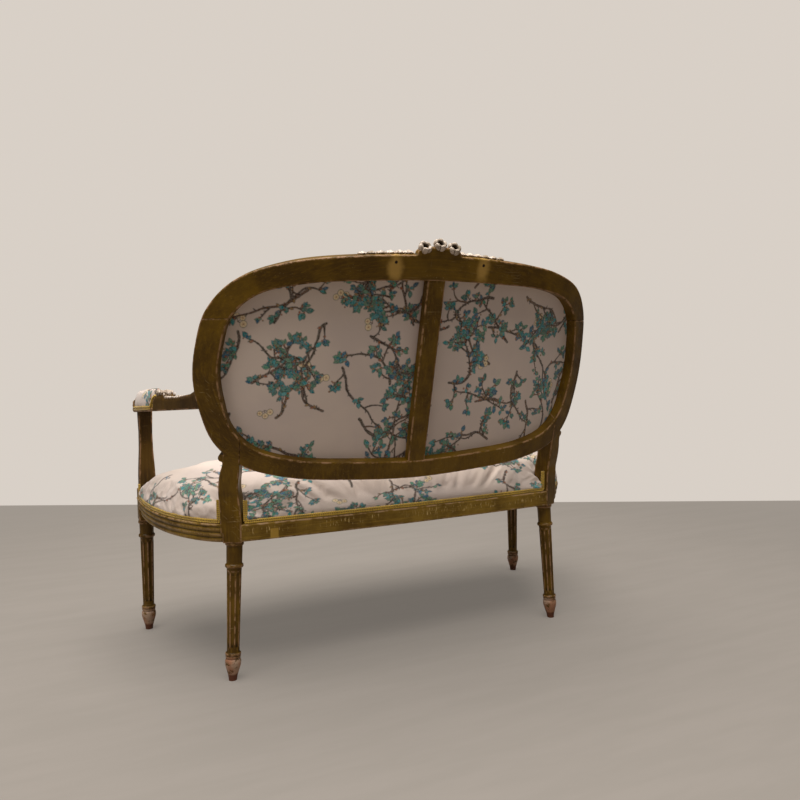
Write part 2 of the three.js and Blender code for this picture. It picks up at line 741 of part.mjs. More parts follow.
// Straight support with a slight waist and a spreading foot
function armSupport() {
  const flat = supportChamferShare;
  const section = [
    [-1, -flat], [-flat, -1], [flat, -1], [1, -flat], [1, flat], [flat, 1], [-flat, 1], [-1, flat],
  ].map(([x, y]) => new THREE.Vector2(x, y));
  const baseZ = frontBlockTopZ + fit;
  const topZ = armFrontZ + armThickness / 3;
  const frames = supportShares.map(([rise, share]) => (p) => {
    const width = lerp(supportBaseWidth, supportTopWidth, rise) * share;
    const depth = lerp(supportBaseDepth, supportTopDepth, rise);
    const x = supportX + p.x * width / 2;
    return new THREE.Vector3(x, frontBlockY + p.y * depth / 2, lerp(baseZ, topZ, rise));
  });
  return loft(section, frames).subtract(armBody(fit));
}

const armSupportRight = armSupport()
  .add(centredBox(supportBaseCentre, supportTenonSize)).add(centredBox(armTenonCentre, armTenonSize));

// Brace down the middle of the back
function backBrace() {
  const section = [[-1, 0], [1, 0], [1, 1], [-1, 1]].map(([across, deep]) => new THREE.Vector2(across, deep));
  const low = ovalMidZ - openingDrop + 2 * fit;
  const high = ovalMidZ + openingRise - 2 * fit;
  const frames = samples(low, high, 4).map((z) => (p) => {
    return onBack(p.x * braceWidth / 2, z, braceSetback + p.y * braceThickness);
  });
  return loft(section, frames);
}

const braceSolid = braceTenons.reduce(
  (solid, centre) => solid.add(centredBox(centre, braceTenonSize)), backBrace().subtract(ringCut),
);

// Crest carving

// A rose: petals round a deep cup, which looks back and up
function rose(x, lift) {
  const half = roseThickness / 2;
  const cupShare = roseCupRadius / roseRadius;
  const rows = [...petalRowShares, ...cupRowShares.map(([share, rise]) => [share * cupShare, rise])];
  const cupFloor = rows[rows.length - 1][1] * half;
  const centre = onBack(x, ovalMidZ + ovalRise + lift, roseSetback);
  const facing = new THREE.Vector3(0, Math.cos(roseTilt), Math.sin(roseTilt));
  const turn = new THREE.Quaternion().setFromUnitVectors(up, facing);
  const at = (px, py, pz) => new THREE.Vector3(px, py, pz).applyQuaternion(turn).add(centre);
  const rings = rows.map(([share, rise]) => circle(roseSides).map((p, i) => {
    const petal = 1 - petalShare * (1 - Math.cos((i / roseSides) * rosePetals * Math.PI * 2)) * share;
    return at(p.x * share * roseRadius * petal, p.y * share * roseRadius * petal, rise * half);
  }));
  const solid = skin([[at(0, 0, -half)], ...rings, [at(0, 0, cupFloor)]]);
  return solid.subtract(ringCut).subtract(lobe(fit));
}

// A garland of berries along the top edge, beside the lobe
function garland() {
  const steps = berryCount * berrySteps;
  const frames = samples(0, 1, steps).map((share) => (p) => {
    const x = lobeHalfWidth + 2 * fit + share * berryCount * berryPitch;
    const swell = Math.abs(Math.sin(share * berryCount * Math.PI));
    const radius = berryRadius * lerp(berryNeckShare, 1, swell) * (1 - garlandTaperShare * share);
    const edge = ovalTopZ(x);
    return onBack(x, edge + p.y * radius, berrySetback - p.x * radius);
  });
  return loft(circle(berrySides), frames).subtract(ringCut);
}

// Height of the oval's top edge at x: its first half runs up the right side and back to the middle
function ovalTopZ(x) {
  const half = samples(0, 0.5, ovalSteps)
    .map((share) => ovalEdge.getPoint(share)).filter((p) => p.y > ovalMidZ);
  const after = half.findIndex((p) => p.x <= x);
  const [a, b] = [half[after - 1], half[after]];
  return lerp(a.y, b.y, (a.x - x) / (a.x - b.x));
}

// Upholstery

function distanceToEdge(point, outline) {
  let least = Infinity;
  outline.forEach((a, i) => {
    const b = outline[(i + 1) % outline.length];
    const edge = b.clone().sub(a);
    const share = THREE.MathUtils.clamp(point.clone().sub(a).dot(edge) / edge.lengthSq(), 0, 1);
    least = Math.min(least, point.distanceTo(a.clone().addScaledVector(edge, share)));
  });
  return least;
}

function inset(outline, distance) {
  return outline.map((point, i) => {
    const before = point.clone().sub(outline[(i + outline.length - 1) % outline.length]).normalize();
    const after = outline[(i + 1) % outline.length].clone().sub(point).normalize();
    const a = new THREE.Vector2(-before.y, before.x);
    const b = new THREE.Vector2(-after.y, after.x);
    const mitre = a.clone().add(b).divideScalar(1 + a.dot(b));
    return point.clone().addScaledVector(mitre, distance);
  });
}

// Rings over an outline, from its rim inwards, ending in a pole: at() takes a plan point and its dome share
function domeRings(outline, shares, reach, at) {
  const centre = outline.reduce((sum, p) => sum.add(p), new THREE.Vector2()).divideScalar(outline.length);
  const shareAt = (p) => {
    const t = Math.min(distanceToEdge(p, outline) / reach, 1);
    return (1 - (1 - t) ** seatFullness) ** (1 / seatFullness);
  };
  const rings = shares.map((share) => outline.map((p) => {
    const point = centre.clone().lerp(p, share);
    return at(point, shareAt(point));
  }));
  return [...rings, [at(centre, shareAt(centre))]];
}

// Seat plan, counter-clockwise seen from above
const rearSide = samples(stileMidX, -stileMidX, 11).map((x) => new THREE.Vector2(x, rearPlanY(x)));
const leftSide = samples(1, 0, 12).map((share) => {
  const p = sidePlan(share);
  return new THREE.Vector2(-p.x, p.y);
});
const frontSide = samples(-1, 1, 13).map((share) => {
  const x = share * (frontBlockX + frontBlockWidth / 2 - overrun);
  return new THREE.Vector2(x, frontPlanY(x));
});
const rightSide = samples(0, 1, 12).map(sidePlan);
const seatPlan = [...rearSide, ...leftSide, ...frontSide, ...rightSide];

const trimHeight = 4 * trimRadius;
const trimWidth = 2 * trimRadius + trimOffset;

// Rings of a domed surface on the seat frame: the skirt stands behind the trim, and the dome swells over it
function seatRings(skirtInset, domeInset, baseZ, crown) {
  const skirt = inset(seatPlan, skirtInset);
  const edge = inset(seatPlan, domeInset);
  const shoulderZ = railTopZ + trimHeight + 2 * fit + domeInset;
  const flat = (outline, z) => outline.map((p) => new THREE.Vector3(p.x, p.y, z));
  const dome = domeRings(edge, [1, ...seatDomeShares], seatReach, (p, share) => {
    return new THREE.Vector3(p.x, p.y, shoulderZ + crown * share);
  });
  return [flat(skirt, baseZ), flat(skirt, shoulderZ - domeInset / 2), ...dome];
}

function postCuts(clearance) {
  const width = stileWidth + 2 * clearance;
  const rear = rearBlock(width, rearBlockDepth + 2 * clearance, underRailsZ, notchTopZ);
  const front = frontBlock(clearance, notchTopZ);
  return [rear, mirrored(rear), front, mirrored(front)];
}

function notched(solid, clearance) {
  return postCuts(clearance).reduce((body, cut) => body.subtract(cut), solid);
}

const layerZ = railTopZ + fit;
const crossWebZ = layerZ;
const longWebZ = crossWebZ + webThickness + fit;
const deckZ = longWebZ + webThickness + fit;
const stuffingZ = deckZ + clothThickness + fit;
const coverInset = trimWidth + 4 * fit;
const coverInner = coverInset + clothThickness;
const stuffingInset = coverInner + fit;
const seatCoverTop = seatRings(coverInset, seatOverhang, layerZ, seatCrown);
const seatCoverUnder = seatRings(
  coverInner, seatOverhang + clothThickness, layerZ - overrun, seatCrown - clothThickness,
);
const seatMiddle = new THREE.Vector3(0, sideCentreY / 2, layerZ);
const seatBelow = seatMiddle.clone().setZ(layerZ - overrun);
const seatCoverSolid = notched(
  skin([[seatMiddle], ...seatCoverTop]).subtract(skin([[seatBelow], ...seatCoverUnder])), postClearance,
);
const seatStuffingRings = seatRings(
  stuffingInset, seatOverhang + clothThickness + fit, stuffingZ, seatCrown - clothThickness - 2 * fit,
);
const seatStuffingSolid = notched(
  skin([[seatMiddle.clone().setZ(stuffingZ)], ...seatStuffingRings]), postClearance + clothThickness,
);

function flatSheet(outline, z, thickness) {
  const middle = (height) => [new THREE.Vector3(0, sideCentreY / 2, height)];
  const ringAt = (height) => outline.map((p) => new THREE.Vector3(p.x, p.y, height));
  return skin([middle(z), ringAt(z), ringAt(z + thickness), middle(z + thickness)]);
}

const seatDeckSolid = notched(
  flatSheet(inset(seatPlan, stuffingInset), deckZ, clothThickness), postClearance + clothThickness,
);
const dustZ = railMidZ - cornerBlockHeight / 2 - fit - clothThickness;
// Set in far from the rails, the dust cover cuts straight across the seat plan's corners
const dustPlan = [
  ...rearSide.slice(1, -1), ...leftSide.slice(1), ...frontSide.slice(1, -1), ...rightSide.slice(0, -1),
];
const dustCoverSolid = notched(flatSheet(inset(dustPlan, dustInset), dustZ, clothThickness), fit);

function crossWeb(index) {
  const x = (index - (crossWebCount - 1) / 2) * webPitchX;
  const low = new THREE.Vector3(x - webWidth / 2, frontPlanY(x) + webTackInset, crossWebZ);
  const high = new THREE.Vector3(x + webWidth / 2, rearPlanY(x) - webTackInset, crossWebZ + webThickness);
  return box(low, high);
}

// A long strap crosses over the short ones and comes down onto the side rails
function longWeb(index) {
  const y = webMidY + (index - (longWebCount - 1) / 2) * webPitchY;
  const bend = (crossWebCount - 1) / 2 * webPitchX + webWidth;
  const end = sidePlan((y + webWidth / 2 - sideCentreY) / sideReachY).x - webTackInset;
  const section = [[-0.5, 0], [0.5, 0], [0.5, 1], [-0.5, 1]].map(([across, high]) => {
    return new THREE.Vector2(across * webWidth, high * webThickness);
  });
  const frames = [[-end, layerZ], [-bend, longWebZ], [bend, longWebZ], [end, layerZ]].map(([x, z]) => (p) => {
    return new THREE.Vector3(x, y + p.x, z + p.y);
  });
  return loft(section, frames);
}

// Double cord: two round cords side by side, swept along a path with a known outward side
const trimSection = cordShares.map(([out, side]) => new THREE.Vector2(out, side).multiplyScalar(trimRadius));

function doubleCord(path, loop = false) {
  const count = path.length;
  const sides = path.map(({ point, outward }, i) => {
    const next = path[(i + 1) % count].point;
    const facing = outward.clone().add(path[(i + 1) % count].outward);
    return new THREE.Vector3().crossVectors(next.clone().sub(point), facing).normalize();
  });
  const frames = path.map(({ point, outward }, i) => (p) => {
    const before = sides[loop ? (i + count - 1) % count : Math.max(i - 1, 0)];
    const after = sides[loop ? i : Math.min(i, count - 2)];
    const mitre = before.clone().add(after).divideScalar(1 + before.dot(after));
    return point.clone().addScaledVector(outward, p.x).addScaledVector(mitre, p.y);
  });
  return loft(trimSection, frames, loop);
}

const trimZ = railTopZ + fit + 2 * trimRadius;
const trimInset = trimOffset + trimRadius;

function trimPoint(plan, outward, z) {
  const flat = plan.clone().addScaledVector(outward, -trimInset);
  return { point: new THREE.Vector3(flat.x, flat.y, z), outward: new THREE.Vector3(outward.x, outward.y, 0) };
}

// Trim along a rail, turned up at each end beside the post there
function railTrim(plan) {
  const path = withNormals(plan).map(({ point, outward }) => trimPoint(point, outward, trimZ));
  const raise = ({ point, outward }) => ({ point: point.clone().setZ(trimZ + trimRise), outward });
  return doubleCord([raise(path[0]), ...path, raise(path[path.length - 1])]);
}

const postGap = trimHeight / 2 + 6 * fit;
const rearTrimEnd = stileInnerX - postGap - (trimInset + trimHeight) * Math.tan(rearBlockTurn);
const frontTrimEnd = frontBlockX - frontBlockWidth / 2 - postGap;
const sideTrimFront = (frontBlockY + frontBlockWidth / 2 + postGap - sideCentreY) / sideReachY;
const seatTrimRear = railTrim(rearPlan(rearTrimEnd, frontSteps));
const seatTrimFront = railTrim(frontPlan(frontTrimEnd, frontSteps));
const seatTrimRight = railTrim(samples(sideTrimFront, sideTrimRearShare, sideSteps).map(sidePlan));

// Back upholstery, laid out over the opening. A share of the frame's width runs from the opening outwards.
function backPlan(share) {
  return samples(0, 1, ovalSteps).slice(0, ovalSteps).map((t) => {
    const inner = openingEdge.getPoint(t);
    const outer = ovalEdge.getPoint(t);
    return new THREE.Vector2(lerp(inner.x, outer.x, share), lerp(inner.y, outer.y, share));
  });
}

// All that lies in front of a depth of the back, its face in flat strips
function inFrontOf(depth) {
  const section = [[-1, depth], [1, depth], [1, 2 * backReach], [-1, 2 * backReach]].map(([rise, deep]) => {
    return new THREE.Vector2(rise, deep);
  });
  const frames = samples(-ovalHalfWidth, ovalHalfWidth, backStrips).map((x) => (p) => {
    return onBack(x, ovalMidZ + p.x * ovalRise, p.y);
  });
  return loft(section, frames);
}

function backLayer(low, high) {
  return inFrontOf(low).subtract(inFrontOf(high));
}

// The room inside the opening, held off the frame
const openingPlan = backPlan(0);
const roomPlan = inset(openingPlan, clothGap);
const roomRings = [-frameThickness, 2 * frameThickness].map((depth) => backFlat(roomPlan, depth));
const room = skin([
  [onBack(0, ovalMidZ, -frameThickness)], ...roomRings, [onBack(0, ovalMidZ, 2 * frameThickness)],
]);

const backEdgeDepth = frameThickness * rabbetShare;
const backStuffDepth = backWebDepth + 2 * (webThickness + fit);
const backOuterCloth = backLayer(outerClothDepth, outerClothDepth + clothThickness)
  .intersect(room).subtract(ringCut);

// Rings of the domed front of the back, from the opening's edge to the middle
function backRings(plan, depth, crown) {
  return domeRings(plan, [1, ...backShares], backReach, (p, share) => onBack(p.x, p.y, depth + crown * share));
}

function backFlat(plan, depth) {
  return plan.map((p) => onBack(p.x, p.y, depth));
}

const backStuffing = skin([
  [onBack(0, ovalMidZ, 0)], backFlat(roomPlan, 0), ...backRings(roomPlan, backEdgeDepth, backCrown),
]).intersect(inFrontOf(backStuffDepth));
const rimDepth = backEdgeDepth + 2 * fit;
const rimPlan = backPlan(rimShare);
const backMiddle = onBack(0, ovalMidZ, backEdgeDepth);
const backCoverTop = [
  backFlat(rimPlan, rimDepth + clothThickness),
  ...backRings(backPlan(domeEdgeShare), rimDepth + clothThickness, backCrown + 2 * fit),
];
const backCoverUnder = [backFlat(openingPlan, 0), ...backRings(openingPlan, rimDepth, backCrown + 2 * fit)];
const backCover = skin([[backMiddle], backFlat(rimPlan, rimDepth), ...backCoverTop])
  .subtract(skin([[onBack(0, ovalMidZ, 0)], ...backCoverUnder]));

function backWeb(horizontal, offset) {
  const depth = backWebDepth + (horizontal ? webThickness + fit : 0);
  const half = webWidth / 2;
  const low = new THREE.Vector3(-far.x, -far.y, 0);
  const high = far.clone();
  if (horizontal) {
    low.z = ovalMidZ + offset - half;
    high.z = ovalMidZ + offset + half;
  } else {
    low.x = offset - half;
    high.x = offset + half;
  }
  return backLayer(depth, depth + webThickness).intersect(room).intersect(box(low, high));
}

const backTrim = doubleCord(backPlan(backTrimShare).map((p) => {
  const depth = rimDepth + clothThickness + fit + trimRadius;
  return { point: onBack(p.x, p.y, depth), outward: backNormal(p.x, p.y).negate() };
}), true);

// Arm pads: a small dome along the arm, a cover over it and a double cord round its foot
function padPlan(grow) {
  const length = armLine.getLength();
  const middle = (padStartShare + padEndShare) / 2;
  const reach = (padEndShare - padStartShare) / 2 * length + grow;
  return circle(padSides).map((p) => {
    const square = (value) => Math.sign(value) * Math.abs(value) ** padSquareShare;
    return new THREE.Vector2(middle * length + reach * square(p.x), (padHalfWidth + grow) * square(p.y));
  });
}

// The pad's domed solid on a foot at a rise above the arm's underside
function padSolid(grow, footRise, baseRise, crown) {
  const length = armLine.getLength();
  const at = (rise) => (p, share) => onArm(p.x / length, p.y, rise + crown * share);
  const foot = padPlan(grow).map((p) => at(footRise)(p, 0));
  const dome = domeRings(padPlan(grow), [1, ...padShares], padReach, at(baseRise));
  return skin([[onArm((padStartShare + padEndShare) / 2, 0, footRise)], foot, ...dome]);
}

const padBaseRise = armThickness * padRiseShare + fit;
const padFootRise = padBaseRise + clothThickness;
const padCoverGrow = clothThickness + fit;
const armPadRight = padSolid(0, padBaseRise, padFootRise, padCrown);
const armPadCoverRight = padSolid(padCoverGrow, padBaseRise, padFootRise + padCoverGrow, padCrown)
  .subtract(padSolid(fit, padBaseRise - overrun, padFootRise + fit, padCrown));
const armPadTrimRight = doubleCord(padPlan(padCoverGrow + fit).map((p, i, outline) => {
  const length = armLine.getLength();
  const share = p.x / length;
  const next = outline[(i + 1) % outline.length];
  const before = outline[(i + outline.length - 1) % outline.length];
  const side = new THREE.Vector2(next.y - before.y, before.x - next.x).normalize();
  const frame = armFrame(share);
  const outward = frame.across.clone().multiplyScalar(side.y).addScaledVector(frame.along, side.x);
  const point = onArm(share, p.y, padBaseRise + 2 * trimRadius).addScaledVector(outward, trimRadius);
  return { point, outward };
}), true);

// Materials and nodes

function finish(color, roughness, metalness = 0) {
  return () => new THREE.MeshStandardMaterial({ color, roughness, metalness });
}

const wood = finish(woodColour, 0.5, 0.1);
const wornWood = finish(wornWoodColour, 0.6);
const bareWood = finish(bareWoodColour, 0.7);
const cordCloth = finish(trimColour, 0.55, 0.1);
const cloth = finish(clothColour, 0.85);
const webbing = finish(webColour, 0.9);
const stuffing = finish(stuffingColour, 0.95);
const dustCloth = finish(dustColour, 0.95);

const sofa = new THREE.Group();

function addNode(name, solid, material) {
  const data = solid.getMesh();
  const geometry = new THREE.BufferGeometry();
  geometry.setAttribute('position', new THREE.BufferAttribute(data.vertProperties, data.numProp));
  geometry.setIndex(new THREE.BufferAttribute(data.triVerts, 1));
  geometry.computeVertexNormals();
  const mesh = new THREE.Mesh(geometry, material());
  mesh.name = name;
  sofa.add(mesh);
}

function addPair(name, solid, material) {
  addNode(`${name}_right`, solid, material);
  addNode(`${name}_left`, mirrored(solid), material);
}

addPair('rear_upright', rearUprightRight, wood);
addPair('front_leg', frontLegRight, wood);
addPair('seat_rail', seatRailRight, wood);
addNode('seat_rail_rear', seatRailRear, wood);
addNode('seat_rail_front', seatRailFront, wood);
addPair('corner_block_front', cornerFrontRight, bareWood);
addPair('corner_block_rear', cornerRearRight, bareWood);
addNode('back_top_rail', backTopRail, wood);
addNode('back_bottom_rail', backBottomRail, wood);
addNode('back_center_brace', braceSolid, wood);
addPair('arm', armRight, wood);
addPair('arm_support', armSupportRight, wood);
addNode('crest_rose_center', rose(0, roseMidLift), wornWood);
addPair('crest_rose', rose(roseSpacing, roseSideLift), wornWood);
addPair('crest_garland', garland(), wornWood);

for (let i = 0; i < crossWebCount; i += 1) {
  addNode(`seat_web_cross_${i + 1}`, crossWeb(i), webbing);
}
for (let i = 0; i < longWebCount; i += 1) {
  addNode(`seat_web_long_${i + 1}`, longWeb(i), webbing);
}
addNode('seat_deck_cloth', seatDeckSolid, webbing);
addNode('seat_stuffing', seatStuffingSolid, stuffing);
addNode('seat_cover', seatCoverSolid, cloth);
addNode('seat_dust_cover', dustCoverSolid, dustCloth);
addNode('seat_trim_rear', seatTrimRear, cordCloth);
addNode('seat_trim_front', seatTrimFront, cordCloth);
addPair('seat_trim', seatTrimRight, cordCloth);

addNode('back_outer_cloth', backOuterCloth, cloth);
[-backWebPitchX, 0, backWebPitchX].forEach((x, i) => {
  addNode(`back_web_upright_${i + 1}`, backWeb(false, x), webbing);
});
[-backWebPitchZ / 2, backWebPitchZ / 2].forEach((z, i) => {
  addNode(`back_web_cross_${i + 1}`, backWeb(true, z), webbing);
});
addNode('back_stuffing', backStuffing, stuffing);
addNode('back_cover', backCover, cloth);
addNode('back_trim', backTrim, cordCloth);
addPair('arm_pad', armPadRight, stuffing);
addPair('arm_pad_cover', armPadCoverRight, cloth);
addPair('arm_pad_trim', armPadTrimRight, cordCloth);

// The origin lies on the floor under the middle of the whole object
const bounds = new THREE.Box3().setFromObject(sofa, true);
const middle = bounds.getCenter(new THREE.Vector3());
sofa.position.set(-middle.x, -middle.y, -bounds.min.z);

export default sofa;
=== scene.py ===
# A two-seat settee with an oval back, open padded arms and fluted legs, seen from behind.
# Lengths are millimetres in the settee's own frame, +Z up, and become metres as each mesh is made.
import math

import bmesh
import bpy
import numpy as np
from mathutils import Matrix, Vector


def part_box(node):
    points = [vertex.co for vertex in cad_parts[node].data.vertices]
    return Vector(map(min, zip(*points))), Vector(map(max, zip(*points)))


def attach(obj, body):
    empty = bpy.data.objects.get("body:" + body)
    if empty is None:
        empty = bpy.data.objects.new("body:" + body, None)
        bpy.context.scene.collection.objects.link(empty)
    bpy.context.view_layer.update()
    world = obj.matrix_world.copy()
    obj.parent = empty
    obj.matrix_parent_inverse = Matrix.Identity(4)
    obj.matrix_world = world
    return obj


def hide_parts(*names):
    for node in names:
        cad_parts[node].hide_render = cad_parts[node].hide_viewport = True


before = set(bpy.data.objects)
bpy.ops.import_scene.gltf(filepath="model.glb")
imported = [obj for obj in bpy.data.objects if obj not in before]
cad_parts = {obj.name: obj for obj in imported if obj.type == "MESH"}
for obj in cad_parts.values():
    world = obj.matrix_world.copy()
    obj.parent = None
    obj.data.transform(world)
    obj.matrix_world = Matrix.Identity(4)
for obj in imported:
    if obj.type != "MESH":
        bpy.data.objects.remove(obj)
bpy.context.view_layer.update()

MM = 0.001
FIT = 0.3

# Keeps divisors off zero
TINY = 1e-6

# The curved back: its rear face as a surface over x and z
OVAL_HALF_WIDTH = 523
OVAL_MID_Z = 700
OVAL_RISE = 269
OVAL_DROP = 256
FRAME_SIDE_WIDTH = 49
FRAME_TOP_WIDTH = 55
FRAME_BOTTOM_WIDTH = 44
OPENING_HALF_WIDTH = OVAL_HALF_WIDTH - FRAME_SIDE_WIDTH
OPENING_RISE = OVAL_RISE - FRAME_TOP_WIDTH
OPENING_DROP = OVAL_DROP - FRAME_BOTTOM_WIDTH
BACK_MID_Y = 119
BACK_MID_Z = 650
BACK_RAKE = math.radians(14.5)
BACK_BOW = 10
BACK_WING = 84
WING_TWIST_SHARE = 0.065
FRAME_THICKNESS = 42
SIDE_JOINT_Z = 830
BOTTOM_JOINT_X = 426
RABBET_SHARE = 0.88
OVAL_SHARES = [
    (0, -1), (0.31, -0.97), (0.615, -0.9), (0.81, -0.77), (0.92, -0.56), (0.975, -0.275), (1, 0),
    (0.992, 0.27), (0.955, 0.55), (0.855, 0.775), (0.66, 0.91), (0.33, 0.98), (0, 1),
]
OPENING_SHARES = [
    (0, -1), (0.32, -0.965), (0.65, -0.89), (0.84, -0.75), (0.94, -0.52), (0.98, -0.25), (1, 0.03),
    (0.99, 0.31), (0.953, 0.61), (0.845, 0.83), (0.64, 0.94), (0.31, 0.985), (0, 1),
]
FRAME_SHARES = [
    (0, 0), (1, 0), (1, 0.78), (0.9, 1), (0.72, 0.97), (0.56, 0.84), (0.4, 0.97), (0.3, 0.97),
    (0.28, RABBET_SHARE), (0, RABBET_SHARE),
]

# Uprights
STILE_MID_X = 444
STILE_WIDTH = 44
STILE_TOP_Z = 530
KNEE_Z = 430
REAR_BLOCK_DEPTH = 44
REAR_BLOCK_TURN = math.radians(26)
REAR_BLOCK_BOTTOM_Z = 321
REAR_BLOCK_TOP_Z = 371
STILE_SHARES = [
    (0, 0, 1), (0.22, 0.02, 1), (0.4, 0.08, 1.04), (0.6, 0.15, 1.08), (0.76, 0.11, 1.02), (0.87, 0.1, 0.92),
    (1, 0.11, 0.9),
]
KNUCKLE_RADIUS = 9
KNUCKLE_Z = 520
KNUCKLE_X = STILE_MID_X + 20
KNUCKLE_SINK = 3
STILE_INNER_X = STILE_MID_X - STILE_WIDTH / 2
STILE_EDGE = 2.5
BLOCK_EDGE = 2
DISC_EDGE = 1.5
DISC_SIDES = 40

# Seat frame
RAIL_TOP_Z = 364
RAIL_HEIGHT = 45
REAR_RAIL_HEIGHT = 40
RAIL_THICKNESS = 28
MOULDING_DEPTH = 10
RAIL_EDGE = 2.6
RAIL_PITCH = 1.7
REAR_RAIL_Y = 41
REAR_RAIL_BOW = 13
SIDE_CENTRE_X = 455
SIDE_CENTRE_Y = -400
SIDE_REACH_X = 154
SIDE_REACH_Y = 402
SIDE_FULLNESS = 2.4
SIDE_SHARPNESS = 1.4
FRONT_RAIL_Y = -450
FRONT_RAIL_BOW = 35
FRONT_LEG_X = 586
FRONT_BLOCK_X = 583
FRONT_BLOCK_Y = -395
FRONT_BLOCK_WIDTH = 46
FRONT_BLOCK_BOTTOM_Z = 300
FRONT_BLOCK_TOP_Z = 386
REED_SHARES = [
    (1, 0), (0.72, 0.06), (0.6, 0.18), (0.82, 0.26), (0.42, 0.36), (0.36, 0.48), (0.62, 0.55), (0.18, 0.66),
    (0.14, 0.78), (0.4, 0.84), (0, 0.9), (0, 1),
]
PLAIN_SHARES = [(0.2, 0), (0, 0.05), (0, 1)]

# Turned legs
FOOT_HEIGHT = 52
FOOT_TIP_RADIUS = 9.5
FOOT_RADIUS = 18.5
ANKLE_RADIUS = 14.3
ANKLE_RING_RADIUS = 18
ANKLE_RING_HEIGHT = 12
SHAFT_RADIUS = 17
COLLAR_RADIUS = 21
NECK_RADIUS = 18.5
CAP_HEIGHT = 7
REAR_COLLAR_DROP = 56
FRONT_COLLAR_DROP = 42
FLUTE_COUNT = 8
FLUTE_DEPTH_SHARE = 0.17
FLUTE_HALF_SHARE = 0.36
FLUTE_TOP_GAP = 14
FLUTE_LOW_GAP = 12
FLUTE_END = 7
TURNED_SIDES = 96
REAR_SPLAY = (0.048, 0.052)
FRONT_SPLAY = (0.01, 0.022)

# Rosettes on the front blocks
ROSETTE_RADIUS = 16
ROSETTE_Z = 343
ROSETTE_PROFILE = [
    (1, -2), (1, 1), (0.94, 2.6), (0.8, 3.4), (0.62, 2.4), (0.5, 1.2), (0.42, 1.2), (0.4, 3.6), (0.3, 5.2),
    (0.15, 5.9), (0.04, 6),
]

# Arms
ARM_WIDTH = 42
ARM_THICKNESS = 34
ARM_REAR = (484, 18, 633)
ARM_FRONT = (587, -430, 591)
ARM_BOW_OUT = 14
ARM_SHARES = [
    (0, 0.85, 1.75), (0.06, 0.85, 1.4), (0.13, 0.8, 1.06), (0.24, 0.8, 0.95), (0.36, 0.86, 1),
    (0.385, 0.9, 1.2), (0.44, 0.95, 1.2), (0.475, 1, 1.1), (0.485, 1, 0.3), (0.7, 1, 0.3), (0.935, 1, 0.3),
    (0.945, 1.02, 0.9), (0.965, 1.04, 1.08), (0.985, 0.94, 0.95), (1, 0.68, 0.5),
]
ARM_SECTION_SHARES = [(0.5, 0), (0.5, 0.72), (0.4, 0.93), (0.15, 1)]
SUPPORT_X = 581
SUPPORT_BASE = (43, 40)
SUPPORT_TOP = (38, 30)
SUPPORT_SHARES = [(0, 1), (0.17, 1), (0.28, 0.97), (0.5, 0.86), (0.72, 0.84), (1, 0.98)]
PAD_START_SHARE = 0.505
PAD_END_SHARE = 0.915
PAD_RISE_SHARE = 0.3
PAD_HALF_WIDTH = 22
PAD_CROWN = 46
PAD_REACH = 20
PAD_SIDE_RISE = 7
PAD_REAR_RISE = 26
PAD_FRONT_RISE = 15
PAD_SQUARE_SHARE = 0.55

# Centre brace and crest
BRACE_WIDTH = 45
BRACE_THICKNESS = 22
BRACE_SETBACK = 2
BRACE_SPARE = 6
LOBE_HALF_WIDTH = 55
LOBE_HEIGHT = 18
LOBE_THICKNESS = 18
ROSE_RADIUS = 15
ROSE_SPACING = 37
ROSE_MID_LIFT = 22
ROSE_SIDE_LIFT = 15
ROSE_SETBACK = 7
ROSE_TILT = math.radians(40)
BERRY_PITCH = 22
BERRY_COUNT = 6
BERRY_SETBACK = 31
BUD_SIDES = 20
BUD_ROWS = 12

# Wear of the paint, the painted shade of the screw holes and the darker tips of the feet; each pair holds
# where a mark starts to fade in or out and where it is done
FOOT_BARE = (64, 50)
FOOT_TIP_FADE = (20, 12)
SCREW_X = 111
SCREW_SHIFT = 5.4
SCREW_Z = 952
SCREW_RADIUS = (4.2, 2.8)
SCREW_PATCH_SIZE = (24, 42)
SCREW_PATCH_DROP = 10
SCREW_BEHIND = (285, 295)
NICKS_TOP = (5, 9)
NICKS_BOTTOM = (27, 21)
PATCH_X = 346
PATCH_HALF_WIDTH = (11, 8)
PATCH_TOP = (12, 17)
PATCH_BOTTOM = (41, 36)
REAR_FACE_BAND = (-8, -3)

# Upholstery
CLOTH_THICKNESS = 1.5
SEAT_CROWN = 92
SEAT_SWELL = 7
POST_CLEARANCE = 4
FOLD_HEIGHT = 3.4
FOLD_REACH = 60
SEAT_REACH = 210
SEAT_FULLNESS = 2.05
TRIM_RADIUS = 2
CORD_RADIUS = 2.8
CORD_SIDES = 10
CORD_SPREAD = 0.92
TRIM_RISE = 50
FRONT_TRIM_RISE = 34
TRIM_OFFSET = 3
OUTER_CLOTH_DEPTH = 25.5
BACK_CROWN = 36
BACK_REACH = 150

# The frame's middle lies on y = 0, which the front leg's block gives
FRAME_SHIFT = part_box("front_leg_right")[0].y / MM - (FRONT_BLOCK_Y - FRONT_BLOCK_WIDTH / 2)

# Steps of each cloth simulation
CLOTH_STEPS = 16

# Draws for the print's layout
rng = np.random.default_rng(7)


# Geometry helpers: a solid is a pair of an array of points and a list of faces

def lerp(a, b, share):
    return a + (b - a) * share


def smooth_step(low, high, value):
    share = np.clip((value - low) / (high - low), 0, 1)
    return share * share * (3 - 2 * share)


def unit(vectors):
    return vectors / np.linalg.norm(vectors, axis=-1, keepdims=True)


def round_angles(count):
    return np.linspace(0, 2 * math.pi, count, endpoint=False)


def at_height(line, z):
    """A line in plan as points at one height, or at a height each."""
    return np.column_stack([line, np.full(len(line), z)])


def swing(start, end):
    """The matrix to multiply points by, so that one direction comes to lie along another."""
    return np.array(Vector(start).rotation_difference(Vector(end)).to_matrix()).T


